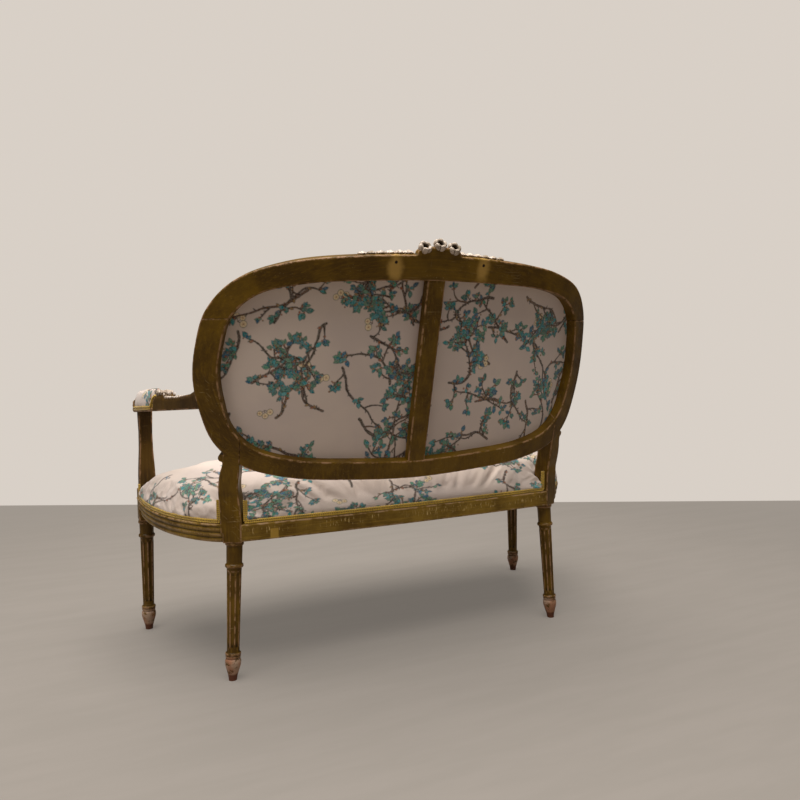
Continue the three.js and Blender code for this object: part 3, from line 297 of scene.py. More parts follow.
def back_y(x, z):
    side = x / OVAL_HALF_WIDTH
    rise = z - BACK_MID_Z
    wing = BACK_BOW * side**2 + BACK_WING * side**4 + rise * WING_TWIST_SHARE * side**2
    return BACK_MID_Y + rise * math.tan(BACK_RAKE) - wing


def back_normal(x, z):
    side = x / OVAL_HALF_WIDTH
    twist = (z - BACK_MID_Z) * WING_TWIST_SHARE
    slope_x = -(2 * (BACK_BOW + twist) * side + 4 * BACK_WING * side**3) / OVAL_HALF_WIDTH
    slope_z = math.tan(BACK_RAKE) - WING_TWIST_SHARE * side**2
    normal = np.stack(np.broadcast_arrays(-slope_x, 1.0, -slope_z), axis=-1)
    return unit(normal)


def on_back(x, z, depth):
    """Points at a depth in front of the back's rear face."""
    x, z, depth = np.broadcast_arrays(np.asarray(x, float), z, depth)
    point = np.stack([x, back_y(x, z), z], axis=-1)
    return point - back_normal(x, z) * depth[..., None]


def centripetal(points, shares, closed=False):
    """A centripetal Catmull-Rom curve through the points, at shares of its spans."""
    points = np.asarray(points, float)
    count = len(points)
    spans = count if closed else count - 1
    at = np.asarray(shares, float) * spans
    first = np.minimum(np.floor(at).astype(int), spans - 1)
    weight = (at - first)[:, None]
    if closed:
        p0, p1, p2, p3 = (points[(first + k) % count] for k in (-1, 0, 1, 2))
    else:
        padded = np.vstack([2 * points[0] - points[1], points, 2 * points[-1] - points[-2]])
        p0, p1, p2, p3 = (padded[first + k] for k in (0, 1, 2, 3))
    d0, d1, d2 = (
        np.maximum(np.linalg.norm(b - a, axis=1), TINY)[:, None] ** 0.5
        for a, b in ((p0, p1), (p1, p2), (p2, p3))
    )
    t1 = ((p1 - p0) / d0 - (p2 - p0) / (d0 + d1) + (p2 - p1) / d1) * d1
    t2 = ((p2 - p1) / d1 - (p3 - p1) / (d1 + d2) + (p3 - p2) / d2) * d1
    c2 = -3 * p1 + 3 * p2 - 2 * t1 - t2
    c3 = 2 * p1 - 2 * p2 + t1 + t2
    return p1 + t1 * weight + c2 * weight**2 + c3 * weight**3


def filleted(points, radius, steps=4, closed=True):
    """An outline whose corners are rounded, by at most half of the shorter side there."""
    points = np.asarray(points, float)
    count = len(points)
    out = []
    for i, corner in enumerate(points):
        if not closed and i in (0, count - 1):
            out.append(corner)
            continue
        before, after = points[i - 1] - corner, points[(i + 1) % count] - corner
        reach = min(radius, 0.48 * np.linalg.norm(before), 0.48 * np.linalg.norm(after))
        start = corner + before / np.linalg.norm(before) * reach
        end = corner + after / np.linalg.norm(after) * reach
        for t in np.linspace(0, 1, steps):
            out.append((1 - t) ** 2 * start + 2 * t * (1 - t) * corner + t**2 * end)
    return np.array(out)


def resampled(path, step):
    lengths = np.concatenate([[0], np.cumsum(np.linalg.norm(np.diff(path, axis=0), axis=1))])
    at = np.linspace(0, lengths[-1], int(lengths[-1] / step) + 1)
    return np.column_stack([np.interp(at, lengths, path[:, k]) for k in range(path.shape[1])])


def ring_faces(rings, columns, closed=False):
    """Quads between rings of points that are closed round."""
    spans = rings if closed else rings - 1
    i, j = np.meshgrid(np.arange(spans), np.arange(columns), indexing="ij")
    a, b = i * columns, (i + 1) % rings * columns
    k = (j + 1) % columns
    return np.stack([a + j, b + j, b + k, a + k], axis=-1).reshape(-1, 4).tolist()


def loft(rings, closed=False):
    """A solid through rings of points, with flat ends unless it is closed."""
    rings = np.asarray(rings, float)
    count, columns = rings.shape[:2]
    faces = ring_faces(count, columns, closed)
    if not closed:
        faces.append(list(range(columns)))
        faces.append(list(range((count - 1) * columns, count * columns))[::-1])
    return rings.reshape(-1, 3), faces


def tube(path, radius, outward, side, sides, closed=False):
    """A tube about a path, its section spanned by two directions at each point."""
    angles = round_angles(sides)[None, :, None]
    radius = np.broadcast_to(radius, len(path))[:, None, None]
    section = outward[:, None, :] * np.cos(angles) + side[:, None, :] * np.sin(angles)
    return loft(path[:, None, :] + radius * section, closed)


def joined(*solids):
    points, faces, start = [], [], 0
    for part_points, part_faces in solids:
        points.append(part_points)
        faces += [[v + start for v in face] for face in part_faces]
        start += len(part_points)
    return np.vstack(points), faces


def mirrored(solid):
    points, faces = solid
    return points * (-1, 1, 1), [face[::-1] for face in faces]


def rounded_box(size, radius, matrix=None):
    """A box with rounded upright edges and bevelled ends, centred on its middle."""
    half = np.array(size) / 2
    corners = [(-half[0], -half[1]), (half[0], -half[1]), (half[0], half[1]), (-half[0], half[1])]
    outline = filleted(corners, radius)
    rings = []
    for z, inwards in ((-half[2], radius), (-half[2] + radius, 0), (half[2] - radius, 0), (half[2], radius)):
        shrink = 1 - inwards / half[:2]
        rings.append(at_height(outline * shrink, z))
    points, faces = loft(rings)
    if matrix is not None:
        points = points @ np.array(matrix.to_3x3()).T + np.array(matrix.translation)
    return points, faces


def make_mesh(name, solid):
    points, faces = solid
    mesh = bpy.data.meshes.new(name)
    mesh.from_pydata(((np.asarray(points) + (0, FRAME_SHIFT, 0)) * MM).tolist(), [], faces)
    bm = bmesh.new()
    bm.from_mesh(mesh)
    bmesh.ops.recalc_face_normals(bm, faces=bm.faces)
    bm.to_mesh(mesh)
    bm.free()
    return mesh


def make_object(name, mesh):
    obj = bpy.data.objects.new(name, mesh)
    bpy.context.scene.collection.objects.link(obj)
    return obj


def shaped_mesh(obj):
    """A copy of an object's mesh as its modifiers leave it."""
    return bpy.data.meshes.new_from_object(obj.evaluated_get(bpy.context.evaluated_depsgraph_get()))


def solid_of(mesh):
    count = len(mesh.vertices)
    points = np.empty(count * 3)
    mesh.vertices.foreach_get("co", points)
    points = points.reshape(-1, 3) / MM - (0, FRAME_SHIFT, 0)
    return points, [list(p.vertices) for p in mesh.polygons]


def cut(solid, planes):
    """What of a solid lies behind planes, each a point and a normal, with the cuts closed."""
    bm = bmesh.new()
    mesh = make_mesh("cut", solid)
    bm.from_mesh(mesh)
    for point, normal in planes:
        place = Vector(point) + Vector((0, FRAME_SHIFT, 0))
        geometry = bm.verts[:] + bm.edges[:] + bm.faces[:]
        made = bmesh.ops.bisect_plane(
            bm, geom=geometry, plane_co=place * MM, plane_no=Vector(normal), clear_outer=True,
        )
        edges = [e for e in made["geom_cut"] if isinstance(e, bmesh.types.BMEdge)]
        bmesh.ops.edgeloop_fill(bm, edges=edges)
    bm.to_mesh(mesh)
    bm.free()
    return solid_of(mesh)


def fused(solid, pitch, rounds=2):
    """Overlapping solids as one skin of even faces, with its edges softened a little."""
    obj = make_object("fused", make_mesh("fused", solid))
    remesh = obj.modifiers.new("skin", "REMESH")
    remesh.mode = "VOXEL"
    remesh.voxel_size = pitch * MM
    relax = obj.modifiers.new("relax", "SMOOTH")
    relax.factor = 0.5
    relax.iterations = rounds
    mesh = shaped_mesh(obj)
    bpy.data.objects.remove(obj)
    return solid_of(mesh)


def puffed(solid, pitch, pressure, cap, held):
    """A skin blown up like a balloon: held points stay, and each other one moves up to its cap."""
    points, faces = fused(solid, pitch)
    obj = make_object("puff", make_mesh("puff", (points, faces)))
    pins = obj.vertex_groups.new(name="pins")
    pins.add(np.nonzero(held(points))[0].tolist(), 1.0, "REPLACE")
    cloth = obj.modifiers.new("cloth", "CLOTH")
    cloth.settings.quality = 4
    cloth.settings.mass = 0.3
    cloth.settings.bending_stiffness = 0.35
    cloth.settings.shrink_min = -0.035
    cloth.settings.use_pressure = True
    cloth.settings.uniform_pressure_force = pressure
    cloth.settings.vertex_group_mass = "pins"
    cloth.settings.effector_weights.gravity = 0
    cloth.collision_settings.use_collision = False
    for step in range(1, CLOTH_STEPS + 1):
        bpy.context.scene.frame_set(step)
    moved = solid_of(shaped_mesh(obj))[0] - points
    length = np.maximum(np.linalg.norm(moved, axis=1), TINY)
    moved *= np.minimum(1, cap(points) / length)[:, None]
    bpy.data.objects.remove(obj)
    bpy.context.scene.frame_set(1)
    return points + moved, faces


def normals_of(solid):
    mesh = make_mesh("normals", solid)
    normals = np.empty(len(mesh.vertices) * 3)
    mesh.vertex_normals.foreach_get("vector", normals)
    return normals.reshape(-1, 3)


# Materials

OLIVE_DARK = (0.076, 0.036, 0.0015)
OLIVE_LIGHT = (0.16, 0.084, 0.0035)
OLIVE_RUBBED = (0.36, 0.2, 0.1)
RAIL_DARK = (0.11, 0.056, 0.004)
RAIL_LIGHT = (0.27, 0.16, 0.02)
RAIL_RUBBED = (0.46, 0.29, 0.15)
# A darker copy of the olive paint for the arms and their posts, which paints in the shade that falls on them
ARM_SHADED_DARK = (0.045, 0.021, 0.0025)
ARM_SHADED_LIGHT = (0.105, 0.054, 0.007)
CARVED_DARK = (0.2, 0.145, 0.09)
CARVED_LIGHT = (0.46, 0.37, 0.29)
CARVED_RUBBED = (0.66, 0.55, 0.46)
# Nearly black painted shade for the hollows of the painted wood
PAINTED_HOLLOW_SHADE = (0.012, 0.006, 0.001)
SCRATCHED = (0.52, 0.37, 0.17)
NICKED = (0.6, 0.42, 0.16)
# Painted shade for the screw holes, which are not modelled
SCREW_HOLE_SHADE = (0.012, 0.005, 0.002)
HOLE_PATCH = (0.52, 0.31, 0.075)
RAIL_PATCH = (0.5, 0.3, 0.05)
FOOT_WOOD = (0.4, 0.185, 0.1)
FOOT_DUST = (0.47, 0.32, 0.22)
FOOT_TIP = (0.14, 0.05, 0.025)
# Nearly black painted shade in the roses' cups
ROSE_CUP_SHADE = (0.02, 0.011, 0.005)
# Twisted cord: its colour runs from painted shade in the grooves between strands to a painted highlight on
# their crowns
CORD_GROOVE_SHADE = (0.27, 0.145, 0.007)
CORD_CROWN_HIGHLIGHT = (0.85, 0.55, 0.05)
CORD_DIRT = (0.24, 0.145, 0.018)
CLOTH_GROUND = (0.7, 0.575, 0.49)
CLOTH_SHADE = (0.61, 0.5, 0.45)
CLOTH_GRUBBY = (0.58, 0.47, 0.41)

# Scales of the brush marks and scratches; each runs along the direction of its least scale
STREAKS = (9, 190, 190)
FINE_STREAKS = (22, 620, 620)
UPRIGHT_SCRATCHES = (620, 90, 22)
LEVEL_SCRATCHES = (13, 90, 620)
SHORT_SCRATCHES = (20, 380, 430)
SLANTED_SCRATCHES = (24, 560, 560)
SLANT = (0.0, 0.8, 0.3)
NICKS = (420, 2, 75)

CORD_TWIST = 1400.0
WEAVE_SCALE = 600.0


class Shader:
    """Builds one node material."""

    def __init__(self, name):
        self.material = bpy.data.materials.new(name)
        self.material.use_nodes = True
        self.tree = self.material.node_tree
        self.surface = self.tree.nodes["Principled BSDF"]
        self.place = self.add("ShaderNodeTexCoord").outputs["Object"]

    def add(self, kind, inputs=None, **settings):
        node = self.tree.nodes.new(kind)
        for key, value in settings.items():
            setattr(node, key, value)
        for key, value in (inputs or {}).items():
            self.feed(node.inputs[key], value)
        return node

    def feed(self, socket, value):
        if isinstance(value, bpy.types.NodeSocket):
            self.tree.links.new(value, socket)
        elif isinstance(value, tuple) and len(value) == 3 and socket.type == "RGBA":
            socket.default_value = (*value, 1)
        else:
            socket.default_value = value

    def set(self, **values):
        for key, value in values.items():
            self.feed(self.surface.inputs[key.replace("_", " ")], value)

    def stretched(self, scale, source=None):
        mapping = self.add("ShaderNodeMapping", {"Vector": source or self.place, "Scale": scale})
        return mapping.outputs["Vector"]

    def noise(self, scale, detail, roughness=0.55, source=None):
        node = self.add("ShaderNodeTexNoise", {
            "Vector": source or self.place, "Scale": float(scale), "Detail": detail, "Roughness": roughness,
        })
        return node.outputs["Fac"]

    def cells(self, scale):
        node = self.add("ShaderNodeTexVoronoi", {"Vector": self.place, "Scale": float(scale)})
        return node.outputs["Distance"]

    def between(self, value, low, high, to_low=0.0, to_high=1.0):
        node = self.add("ShaderNodeMapRange", {
            "Value": value, "From Min": low, "From Max": high, "To Min": to_low, "To Max": to_high,
        }, interpolation_type="SMOOTHSTEP")
        return node.outputs["Result"]

    def past(self, length, band):
        """How far a length has gone through a band, which is given in millimetres."""
        return self.between(length, band[0] * MM, band[1] * MM)

    def math(self, operation, first, *others):
        """An operation on one value, or on several in turn."""
        for other in others or (0.0,):
            first = self.add("ShaderNodeMath", {0: first, 1: other}, operation=operation).outputs["Value"]
        return first

    def hypotenuse(self, a, b):
        return self.math("SQRT", self.math("ADD", self.math("MULTIPLY", a, a), self.math("MULTIPLY", b, b)))

    def mix(self, share, a, b):
        node = self.add("ShaderNodeMix", {"Factor": share}, data_type="RGBA")
        self.feed(node.inputs[6], a)
        self.feed(node.inputs[7], b)
        return node.outputs[2]

    def bump(self, height, distance, strength, normal=None):
        """A normal bumped by a height; its distance is given in millimetres."""
        inputs = {"Height": height, "Distance": distance * MM, "Strength": strength}
        if normal is not None:
            inputs["Normal"] = normal
        return self.add("ShaderNodeBump", inputs).outputs["Normal"]

    def layer(self, name, output="Fac"):
        return self.add("ShaderNodeAttribute", attribute_name=name).outputs[output]

    def axes(self, vector=None):
        return self.add("ShaderNodeSeparateXYZ", {"Vector": vector or self.place}).outputs

    def vector(self, x, y, z):
        return self.add("ShaderNodeCombineXYZ", {"X": x, "Y": y, "Z": z}).outputs["Vector"]

    def colour(self):
        """What feeds the surface's colour so far."""
        return self.surface.inputs["Base Color"].links[0].from_socket


def scratches(s, scale, patches, threshold=0.69):
    """Thin pale dashes that run along the least scaled direction, in patches."""
    lines = s.between(s.noise(1, 2, 0.4, s.stretched(scale)), threshold, threshold + 0.03)
    return s.math("MULTIPLY", lines, s.between(patches, 0.55, 0.63))


def along_oval(s):
    """Coordinates round the oval and across it, for brush marks that follow the frame."""
    x, y, z = s.axes()
    side = s.math("DIVIDE", x, OVAL_HALF_WIDTH * MM)
    rise = s.math("DIVIDE", s.math("SUBTRACT", z, OVAL_MID_Z * MM), OVAL_RISE * MM)
    turn = s.math("MULTIPLY", s.math("ARCTAN2", rise, side), 0.4)
    reach = s.math("MULTIPLY", s.hypotenuse(side, rise), 0.35)
    blend = s.add("ShaderNodeMix", data_type="VECTOR")
    s.feed(blend.inputs[0], s.past(z, (STILE_TOP_Z, STILE_TOP_Z - 40)))
    s.feed(blend.inputs[4], s.vector(turn, reach, y))
    s.feed(blend.inputs[5], s.vector(z, x, y))
    return blend.outputs[1]


def shade(colour, factor):
    return tuple(factor * c for c in colour)


def paint(name, dark, light, worn, wear=0.8, grain="upright", edge=(0.22, 0.6)):
    """Old paint over wood: mottled, brushed, scratched, rubbed through on its edges, and darkened with
    painted shade in its hollows.
    """
    s = Shader(name)
    x, y, z = s.axes()
    if grain == "oval":
        run = along_oval(s)
    else:
        run = s.vector(z, x, y) if grain == "upright" else s.vector(x, z, y)
    streaks = s.noise(1, 6, 0.65, s.stretched(STREAKS, run))
    fine = s.noise(1, 4, 0.6, s.stretched(FINE_STREAKS, run))
    body = s.mix(s.between(s.noise(9, 6, 0.62), 0.36, 0.66), dark, light)
    body = s.mix(s.between(streaks, 0.5, 0.72, 0, 0.42), body, shade(light, 1.55))
    body = s.mix(s.between(streaks, 0.48, 0.3, 0, 0.38), body, shade(dark, 0.55))
    body = s.mix(s.between(fine, 0.52, 0.74, 0, 0.4), body, shade(light, 1.3))
    tip = s.layer("edge")
    # Painted shade: hollows, where the edge layer lies below its smoothed surroundings, turn nearly black
    body = s.mix(s.between(tip, -0.12, -0.75, 0, 0.9), body, PAINTED_HOLLOW_SHADE)
    broken = s.between(s.noise(48, 6, 0.72), 0.42, 0.56)
    body = s.mix(s.math("MULTIPLY", s.between(tip, *edge), broken, wear), body, worn)
    patches = s.noise(6, 3, 0.6)
    other = s.noise(4.3, 3, 0.6, s.stretched((1, 1, 1.3)))
    turned = s.add("ShaderNodeMapping", {"Vector": s.place, "Rotation": SLANT}).outputs["Vector"]
    slanted = s.between(s.noise(1, 2, 0.4, s.stretched(SLANTED_SCRATCHES, turned)), 0.69, 0.72)
    specks = s.between(s.cells(230), 0.16, 0.08)
    marks = s.math(
        "MAXIMUM", scratches(s, UPRIGHT_SCRATCHES, patches), scratches(s, LEVEL_SCRATCHES, other),
        scratches(s, SHORT_SCRATCHES, patches, 0.7),
        s.math("MULTIPLY", slanted, s.between(other, 0.54, 0.62)),
        s.math("MULTIPLY", specks, s.between(s.noise(17, 3, 0.6), 0.54, 0.62)),
    )
    body = s.mix(s.math("MULTIPLY", marks, 0.5), body, SCRATCHED)
    gloss = s.between(s.noise(40, 4), 0.3, 0.7, 0.34, 0.55)
    rough = s.bump(streaks, 0.5, 0.4)
    s.set(Base_Color=body, Roughness=gloss, Specular_IOR_Level=0.2)
    s.set(Normal=s.bump(s.noise(420, 3), 0.2, 0.3, rough))
    return s


wood = paint("olive_paint", OLIVE_DARK, OLIVE_LIGHT, OLIVE_RUBBED, grain="oval")
rail_wood = paint("rail_paint", RAIL_DARK, RAIL_LIGHT, RAIL_RUBBED, grain="level")
# The arms and their posts take a darker copy of the paint: painted shade
shaded_arm_wood = paint("arm_paint_shaded", ARM_SHADED_DARK, ARM_SHADED_LIGHT, OLIVE_RUBBED, wear=0.9)
legs = paint("leg_paint", OLIVE_DARK, OLIVE_LIGHT, OLIVE_RUBBED, wear=0.9)
carved = paint("carved_paint", CARVED_DARK, CARVED_LIGHT, CARVED_RUBBED, wear=1.0, edge=(0.0, 0.3))


def wear_feet(s):
    """The paint of the feet is nearly gone, down to the reddish wood, and their lowest part turns darker
    towards the floor.
    """
    height = s.axes()["Z"]
    gone = s.math("MULTIPLY", s.past(height, FOOT_BARE), s.between(s.noise(70, 5, 0.7), 0.38, 0.5))
    dusty = s.mix(s.between(s.noise(30, 4), 0.4, 0.65), FOOT_WOOD, FOOT_DUST)
    s.set(Base_Color=s.mix(s.past(height, FOOT_TIP_FADE), s.mix(gone, s.colour(), dusty), FOOT_TIP))


def wear_and_shade_screw_holes(s):
    """Two screw holes in the top rail, each a spot of painted shade in a patch rubbed to a golden tan."""
    x, y, z = s.axes()
    side = s.math("SUBTRACT", s.math("ABSOLUTE", s.math("ADD", x, SCREW_SHIFT * MM)), SCREW_X * MM)
    rise = s.math("SUBTRACT", z, SCREW_Z * MM)
    wide = s.math("DIVIDE", side, SCREW_PATCH_SIZE[0] * MM)
    tall = s.math("DIVIDE", s.math("ADD", rise, SCREW_PATCH_DROP * MM), SCREW_PATCH_SIZE[1] * MM)
    ripple = s.math("MULTIPLY", s.noise(30, 4, 0.6), 0.9)
    patch = s.between(s.math("ADD", s.hypotenuse(wide, tall), ripple), 1.45, 0.7)
    rubbed = s.mix(s.math("MULTIPLY", patch, s.past(y, SCREW_BEHIND), 0.75), s.colour(), HOLE_PATCH)
    # Painted shade: a nearly black spot where each screw hole would lie in shade
    s.set(Base_Color=s.mix(s.past(s.hypotenuse(side, rise), SCREW_RADIUS), rubbed, SCREW_HOLE_SHADE))


def mark_rail(s):
    """Short upright nicks in a band under the cord of the rear rail, and one rubbed patch."""
    x, y, z = s.axes()
    drop = s.math("SUBTRACT", RAIL_TOP_Z * MM, z)
    rear_face = REAR_RAIL_Y - REAR_RAIL_BOW + FRAME_SHIFT
    behind = s.past(y, [rear_face + depth for depth in REAR_FACE_BAND])
    band = s.math("MULTIPLY", s.past(drop, NICKS_TOP), s.past(drop, NICKS_BOTTOM))
    nicks = s.between(s.noise(1, 2, 0.5, s.stretched(NICKS)), 0.6, 0.66)
    scattered = s.between(s.noise(5, 2), 0.42, 0.5)
    nicked = s.mix(s.math("MULTIPLY", nicks, scattered, band, behind, 0.75), s.colour(), NICKED)
    side = s.math("ABSOLUTE", s.math("SUBTRACT", x, PATCH_X * MM))
    limits = (s.past(side, PATCH_HALF_WIDTH), s.past(drop, PATCH_TOP), s.past(drop, PATCH_BOTTOM))
    s.set(Base_Color=s.mix(s.math("MULTIPLY", *limits, behind, 0.7), nicked, RAIL_PATCH))


# Painted shade: the roses' cups turn nearly black by their hollow layer
def paint_cup_shade(s):
    s.set(Base_Color=s.mix(s.layer("hollow"), s.colour(), ROSE_CUP_SHADE))


wear_feet(legs)
wear_and_shade_screw_holes(wood)
mark_rail(rail_wood)
paint_cup_shade(carved)


def cord_material():
    """Twisted strands, with painted shade in the grooves between them and a painted highlight on their
    crowns over the yarn's own colour: the layer holds the length run along the cord and the angle round it.
    """
    s = Shader("double_cord")
    run = s.axes(s.layer("run", "Vector"))
    strand = s.math("SINE", s.math("ADD", s.math("MULTIPLY", run["X"], CORD_TWIST), run["Y"]))
    # The yarn's colour, with painted shade in the grooves and a painted highlight on the crowns
    body = s.mix(s.between(strand, -1, 1), CORD_GROOVE_SHADE, CORD_CROWN_HIGHLIGHT)
    dirt = s.between(s.noise(25, 4), 0.35, 0.65, 0, 0.45)
    s.set(Base_Color=s.mix(dirt, body, CORD_DIRT), Roughness=0.55, Sheen_Weight=0.3)
    s.set(Normal=s.bump(strand, 0.4, 0.6))
    return s


def cloth_material():
    """Plain-woven cloth with a print: its colours and cover come from the piece's own colour layer."""
    s = Shader("print_cloth")
    printed = s.add("ShaderNodeVertexColor", layer_name="print")
    tint = s.mix(s.between(s.noise(6, 4), 0.35, 0.65, 0, 0.6), CLOTH_GROUND, CLOTH_SHADE)
    grubby = s.mix(s.between(s.noise(2.2, 5, 0.6), 0.45, 0.7, 0, 0.4), tint, CLOTH_GRUBBY)
    flecks = s.mix(s.between(s.noise(300, 2), 0.3, 0.7, 0, 0.25), printed.outputs["Color"], CLOTH_GROUND)
    body = s.mix(printed.outputs["Alpha"], grubby, flecks)
    s.set(Base_Color=body, Roughness=0.82, Sheen_Weight=0.25, Sheen_Roughness=0.5, Specular_IOR_Level=0.3)
    warp, weft = (
        s.add("ShaderNodeTexWave", {"Vector": s.place, "Scale": WEAVE_SCALE}, bands_direction=axis)
        for axis in ("X", "Z")
    )
    weave = s.math("MULTIPLY", warp.outputs["Fac"], weft.outputs["Fac"])
    s.set(Normal=s.bump(weave, 0.3, 0.25))
    return s


def plain_material(name, colour, other, scale, roughness):
    s = Shader(name)
    s.set(Base_Color=s.mix(s.between(s.noise(scale, 5), 0.3, 0.7), colour, other), Roughness=roughness)
    s.set(Normal=s.bump(s.noise(scale * 12, 3), 0.4, 0.4))
    return s


cord_look = cord_material()
cloth_look = cloth_material()
bare_look = plain_material("bare_wood", (0.36, 0.22, 0.1), (0.5, 0.34, 0.17), 20, 0.7)
web_look = plain_material("webbing", (0.3, 0.22, 0.11), (0.42, 0.33, 0.18), 90, 0.9)
dust_look = plain_material("dust_cloth", (0.016, 0.014, 0.013), (0.03, 0.027, 0.024), 60, 0.95)

EDGE_ROUNDS = 7

# Degrees between faces over which an edge is drawn sharp
CRISP_ANGLE = 40
CARVED_ANGLE = 60
SOFT_ANGLE = 180


def store_edges(mesh):
    """Stores how far each point stands out of its smoothed surroundings, in millimetres."""
    count = len(mesh.vertices)
    place, normal = np.empty(count * 3), np.empty(count * 3)
    mesh.vertices.foreach_get("co", place)
    mesh.vertex_normals.foreach_get("vector", normal)
    place, normal = place.reshape(-1, 3) / MM, normal.reshape(-1, 3)
    ends = np.empty(2 * len(mesh.edges), int)
    mesh.edges.foreach_get("vertices", ends)
    a, b = ends.reshape(-1, 2).T
    degree = np.maximum(np.bincount(a, minlength=count) + np.bincount(b, minlength=count), 1)
    even = place.copy()
    for _ in range(EDGE_ROUNDS):
        around = [np.bincount(a, even[b, k], count) + np.bincount(b, even[a, k], count) for k in range(3)]
        even = np.column_stack(around) / degree[:, None]
    stand = ((place - even) * normal).sum(axis=1)
    layer = mesh.attributes.new("edge", "FLOAT", "POINT")
    layer.data.foreach_set("value", stand.astype(np.float32))


def finish_piece(name, solid, shader, nodes, sharp=CRISP_ANGLE):
    mesh = make_mesh(name, solid)
    store_edges(mesh)
    mesh.materials.append(shader.material)
    mesh.shade_smooth()
    mesh.set_sharp_from_angle(angle=math.radians(sharp))
    obj = make_object(name, mesh)
    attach(obj, "root")
    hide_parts(*nodes)
    return obj


def finish_pair(name, solid, shader, nodes, sharp=CRISP_ANGLE):
    """The right-hand piece and its mirror image; nodes are the names without their side."""
    pair = []
    for side, part in (("right", solid), ("left", mirrored(solid))):
        taken = [f"{node}_{side}" for node in nodes]
        pair.append(finish_piece(f"{name}_{side}", part, shader, taken, sharp))
    return pair


# The oval frame

def oval_points(half_shares, half_width, rise, drop):
    """An oval's points from the right-hand half's shares, which run from its foot to its top."""
    half = []
    for across, along in half_shares:
        half.append((across * half_width, OVAL_MID_Z + along * (rise if along > 0 else drop)))
    return half + [(-x, z) for x, z in half[-2:0:-1]]


OVAL = oval_points(OVAL_SHARES, OVAL_HALF_WIDTH, OVAL_RISE, OVAL_DROP)
OPENING = oval_points(OPENING_SHARES, OPENING_HALF_WIDTH, OPENING_RISE, OPENING_DROP)
RING_STEPS = 480
ring_shares = np.arange(RING_STEPS) / RING_STEPS
oval_line = centripetal(OVAL, ring_shares, True)
opening_line = centripetal(OPENING, ring_shares, True)

FRAME_EDGE = 3
frame_section = filleted(
    [(across * FRAME_SIDE_WIDTH, deep * FRAME_THICKNESS) for across, deep in FRAME_SHARES], FRAME_EDGE,
) / (FRAME_SIDE_WIDTH, 1)
plan = opening_line[:, None, :] + (oval_line - opening_line)[:, None, :] * frame_section[None, :, :1]
ring = loft(on_back(plan[..., 0], plan[..., 1], frame_section[None, :, 1]), closed=True)

GAP = FIT / 6


def ring_part(left, right, low, high, extra=0):
    """The planes round a part of the oval between places of x and z, each moved out by an extra length."""
    return [
        ((right + extra, 0, 0), (1, 0, 0)), ((left - extra, 0, 0), (-1, 0, 0)),
        ((0, 0, high + extra), (0, 0, 1)), ((0, 0, low - extra), (0, 0, -1)),
    ]


BOTTOM_PART = (-BOTTOM_JOINT_X + GAP, BOTTOM_JOINT_X - GAP, 0, OVAL_MID_Z)
TOP_PART = (-OVAL_HALF_WIDTH * 2, OVAL_HALF_WIDTH * 2, SIDE_JOINT_Z + GAP, OVAL_MID_Z * 2)
SIDE_PART = (BOTTOM_JOINT_X + GAP, OVAL_HALF_WIDTH * 2, 0, SIDE_JOINT_Z - GAP)
JOINT_SPARE = 6
bottom_rail = cut(ring, ring_part(*BOTTOM_PART, JOINT_SPARE))
top_ring = cut(ring, ring_part(*TOP_PART, JOINT_SPARE))
side_ring = cut(ring, ring_part(BOTTOM_PART[1] + 2 * GAP, *SIDE_PART[1:]))


def lobe():
    """The plate behind the roses, standing on the top rail."""
    top_z = OVAL_MID_Z + OVAL_RISE
    section = filleted([(0, 0), (1, 0), (1, 1), (0, 1)], 0.12)
    rings = []
    for angle in np.linspace(math.pi, 0, 64):
        height = LOBE_HEIGHT * max(math.sin(angle), 0) ** 0.6
        z = lerp(top_z - LOBE_HEIGHT, top_z + height, section[:, 1])
        rings.append(on_back(LOBE_HALF_WIDTH * math.cos(angle), z, section[:, 0] * LOBE_THICKNESS))
    return loft(rings)


def stile():
    knots = centripetal(STILE_SHARES, np.linspace(0, 1, 60))
    base_z = RAIL_TOP_Z - REAR_RAIL_HEIGHT / 2
    corners = [(0, 0), (STILE_WIDTH, 0), (STILE_WIDTH, FRAME_THICKNESS), (0, FRAME_THICKNESS)]
    section = filleted(corners, STILE_EDGE)
    rings = []
    for rise, inner_share, outer_share in knots:
        z = lerp(base_z, STILE_TOP_Z, rise)
        raised = max(z, KNEE_Z)
        normal = back_normal(STILE_MID_X, raised)
        share = (raised - KNEE_Z) / (STILE_TOP_Z - KNEE_Z)
        turn = lerp(REAR_BLOCK_TURN, math.atan2(normal[0], normal[1]), share)
        across = STILE_WIDTH * lerp(inner_share, outer_share, section[:, 0] / STILE_WIDTH)
        x = STILE_INNER_X + across - section[:, 1] * math.sin(turn)
        y = back_y(STILE_INNER_X, raised) - across * math.tan(turn) - section[:, 1] * math.cos(turn)
        rings.append(at_height(np.column_stack([x, y]), z))
    return loft(rings)


def disc(centre, axis, radius, thickness):
    """A round plate with softened rims."""
    angles = round_angles(DISC_SIDES)
    circle = np.column_stack([np.cos(angles), np.sin(angles), np.zeros(DISC_SIDES)])
    rings = []
    low, high = DISC_EDGE, thickness - DISC_EDGE
    for height, inwards in ((0, DISC_EDGE), (low, 0), (high, 0), (thickness, DISC_EDGE)):
        rings.append((circle * (radius - inwards) + (0, 0, height)) @ swing((0, 0, 1), axis) + centre)
    return loft(rings)


block_centre = np.array([STILE_INNER_X, back_y(STILE_INNER_X, KNEE_Z)])
block_centre += np.array([math.cos(REAR_BLOCK_TURN), -math.sin(REAR_BLOCK_TURN)]) * STILE_WIDTH / 2
block_centre -= np.array([math.sin(REAR_BLOCK_TURN), math.cos(REAR_BLOCK_TURN)]) * REAR_BLOCK_DEPTH / 2


def rear_block():
    matrix = Matrix.Rotation(-REAR_BLOCK_TURN, 4, "Z")
    matrix.translation = (*block_centre, (REAR_BLOCK_TOP_Z + REAR_BLOCK_BOTTOM_Z) / 2)
    size = (STILE_WIDTH, REAR_BLOCK_DEPTH, REAR_BLOCK_TOP_Z - REAR_BLOCK_BOTTOM_Z)
    return rounded_box(size, BLOCK_EDGE, matrix)


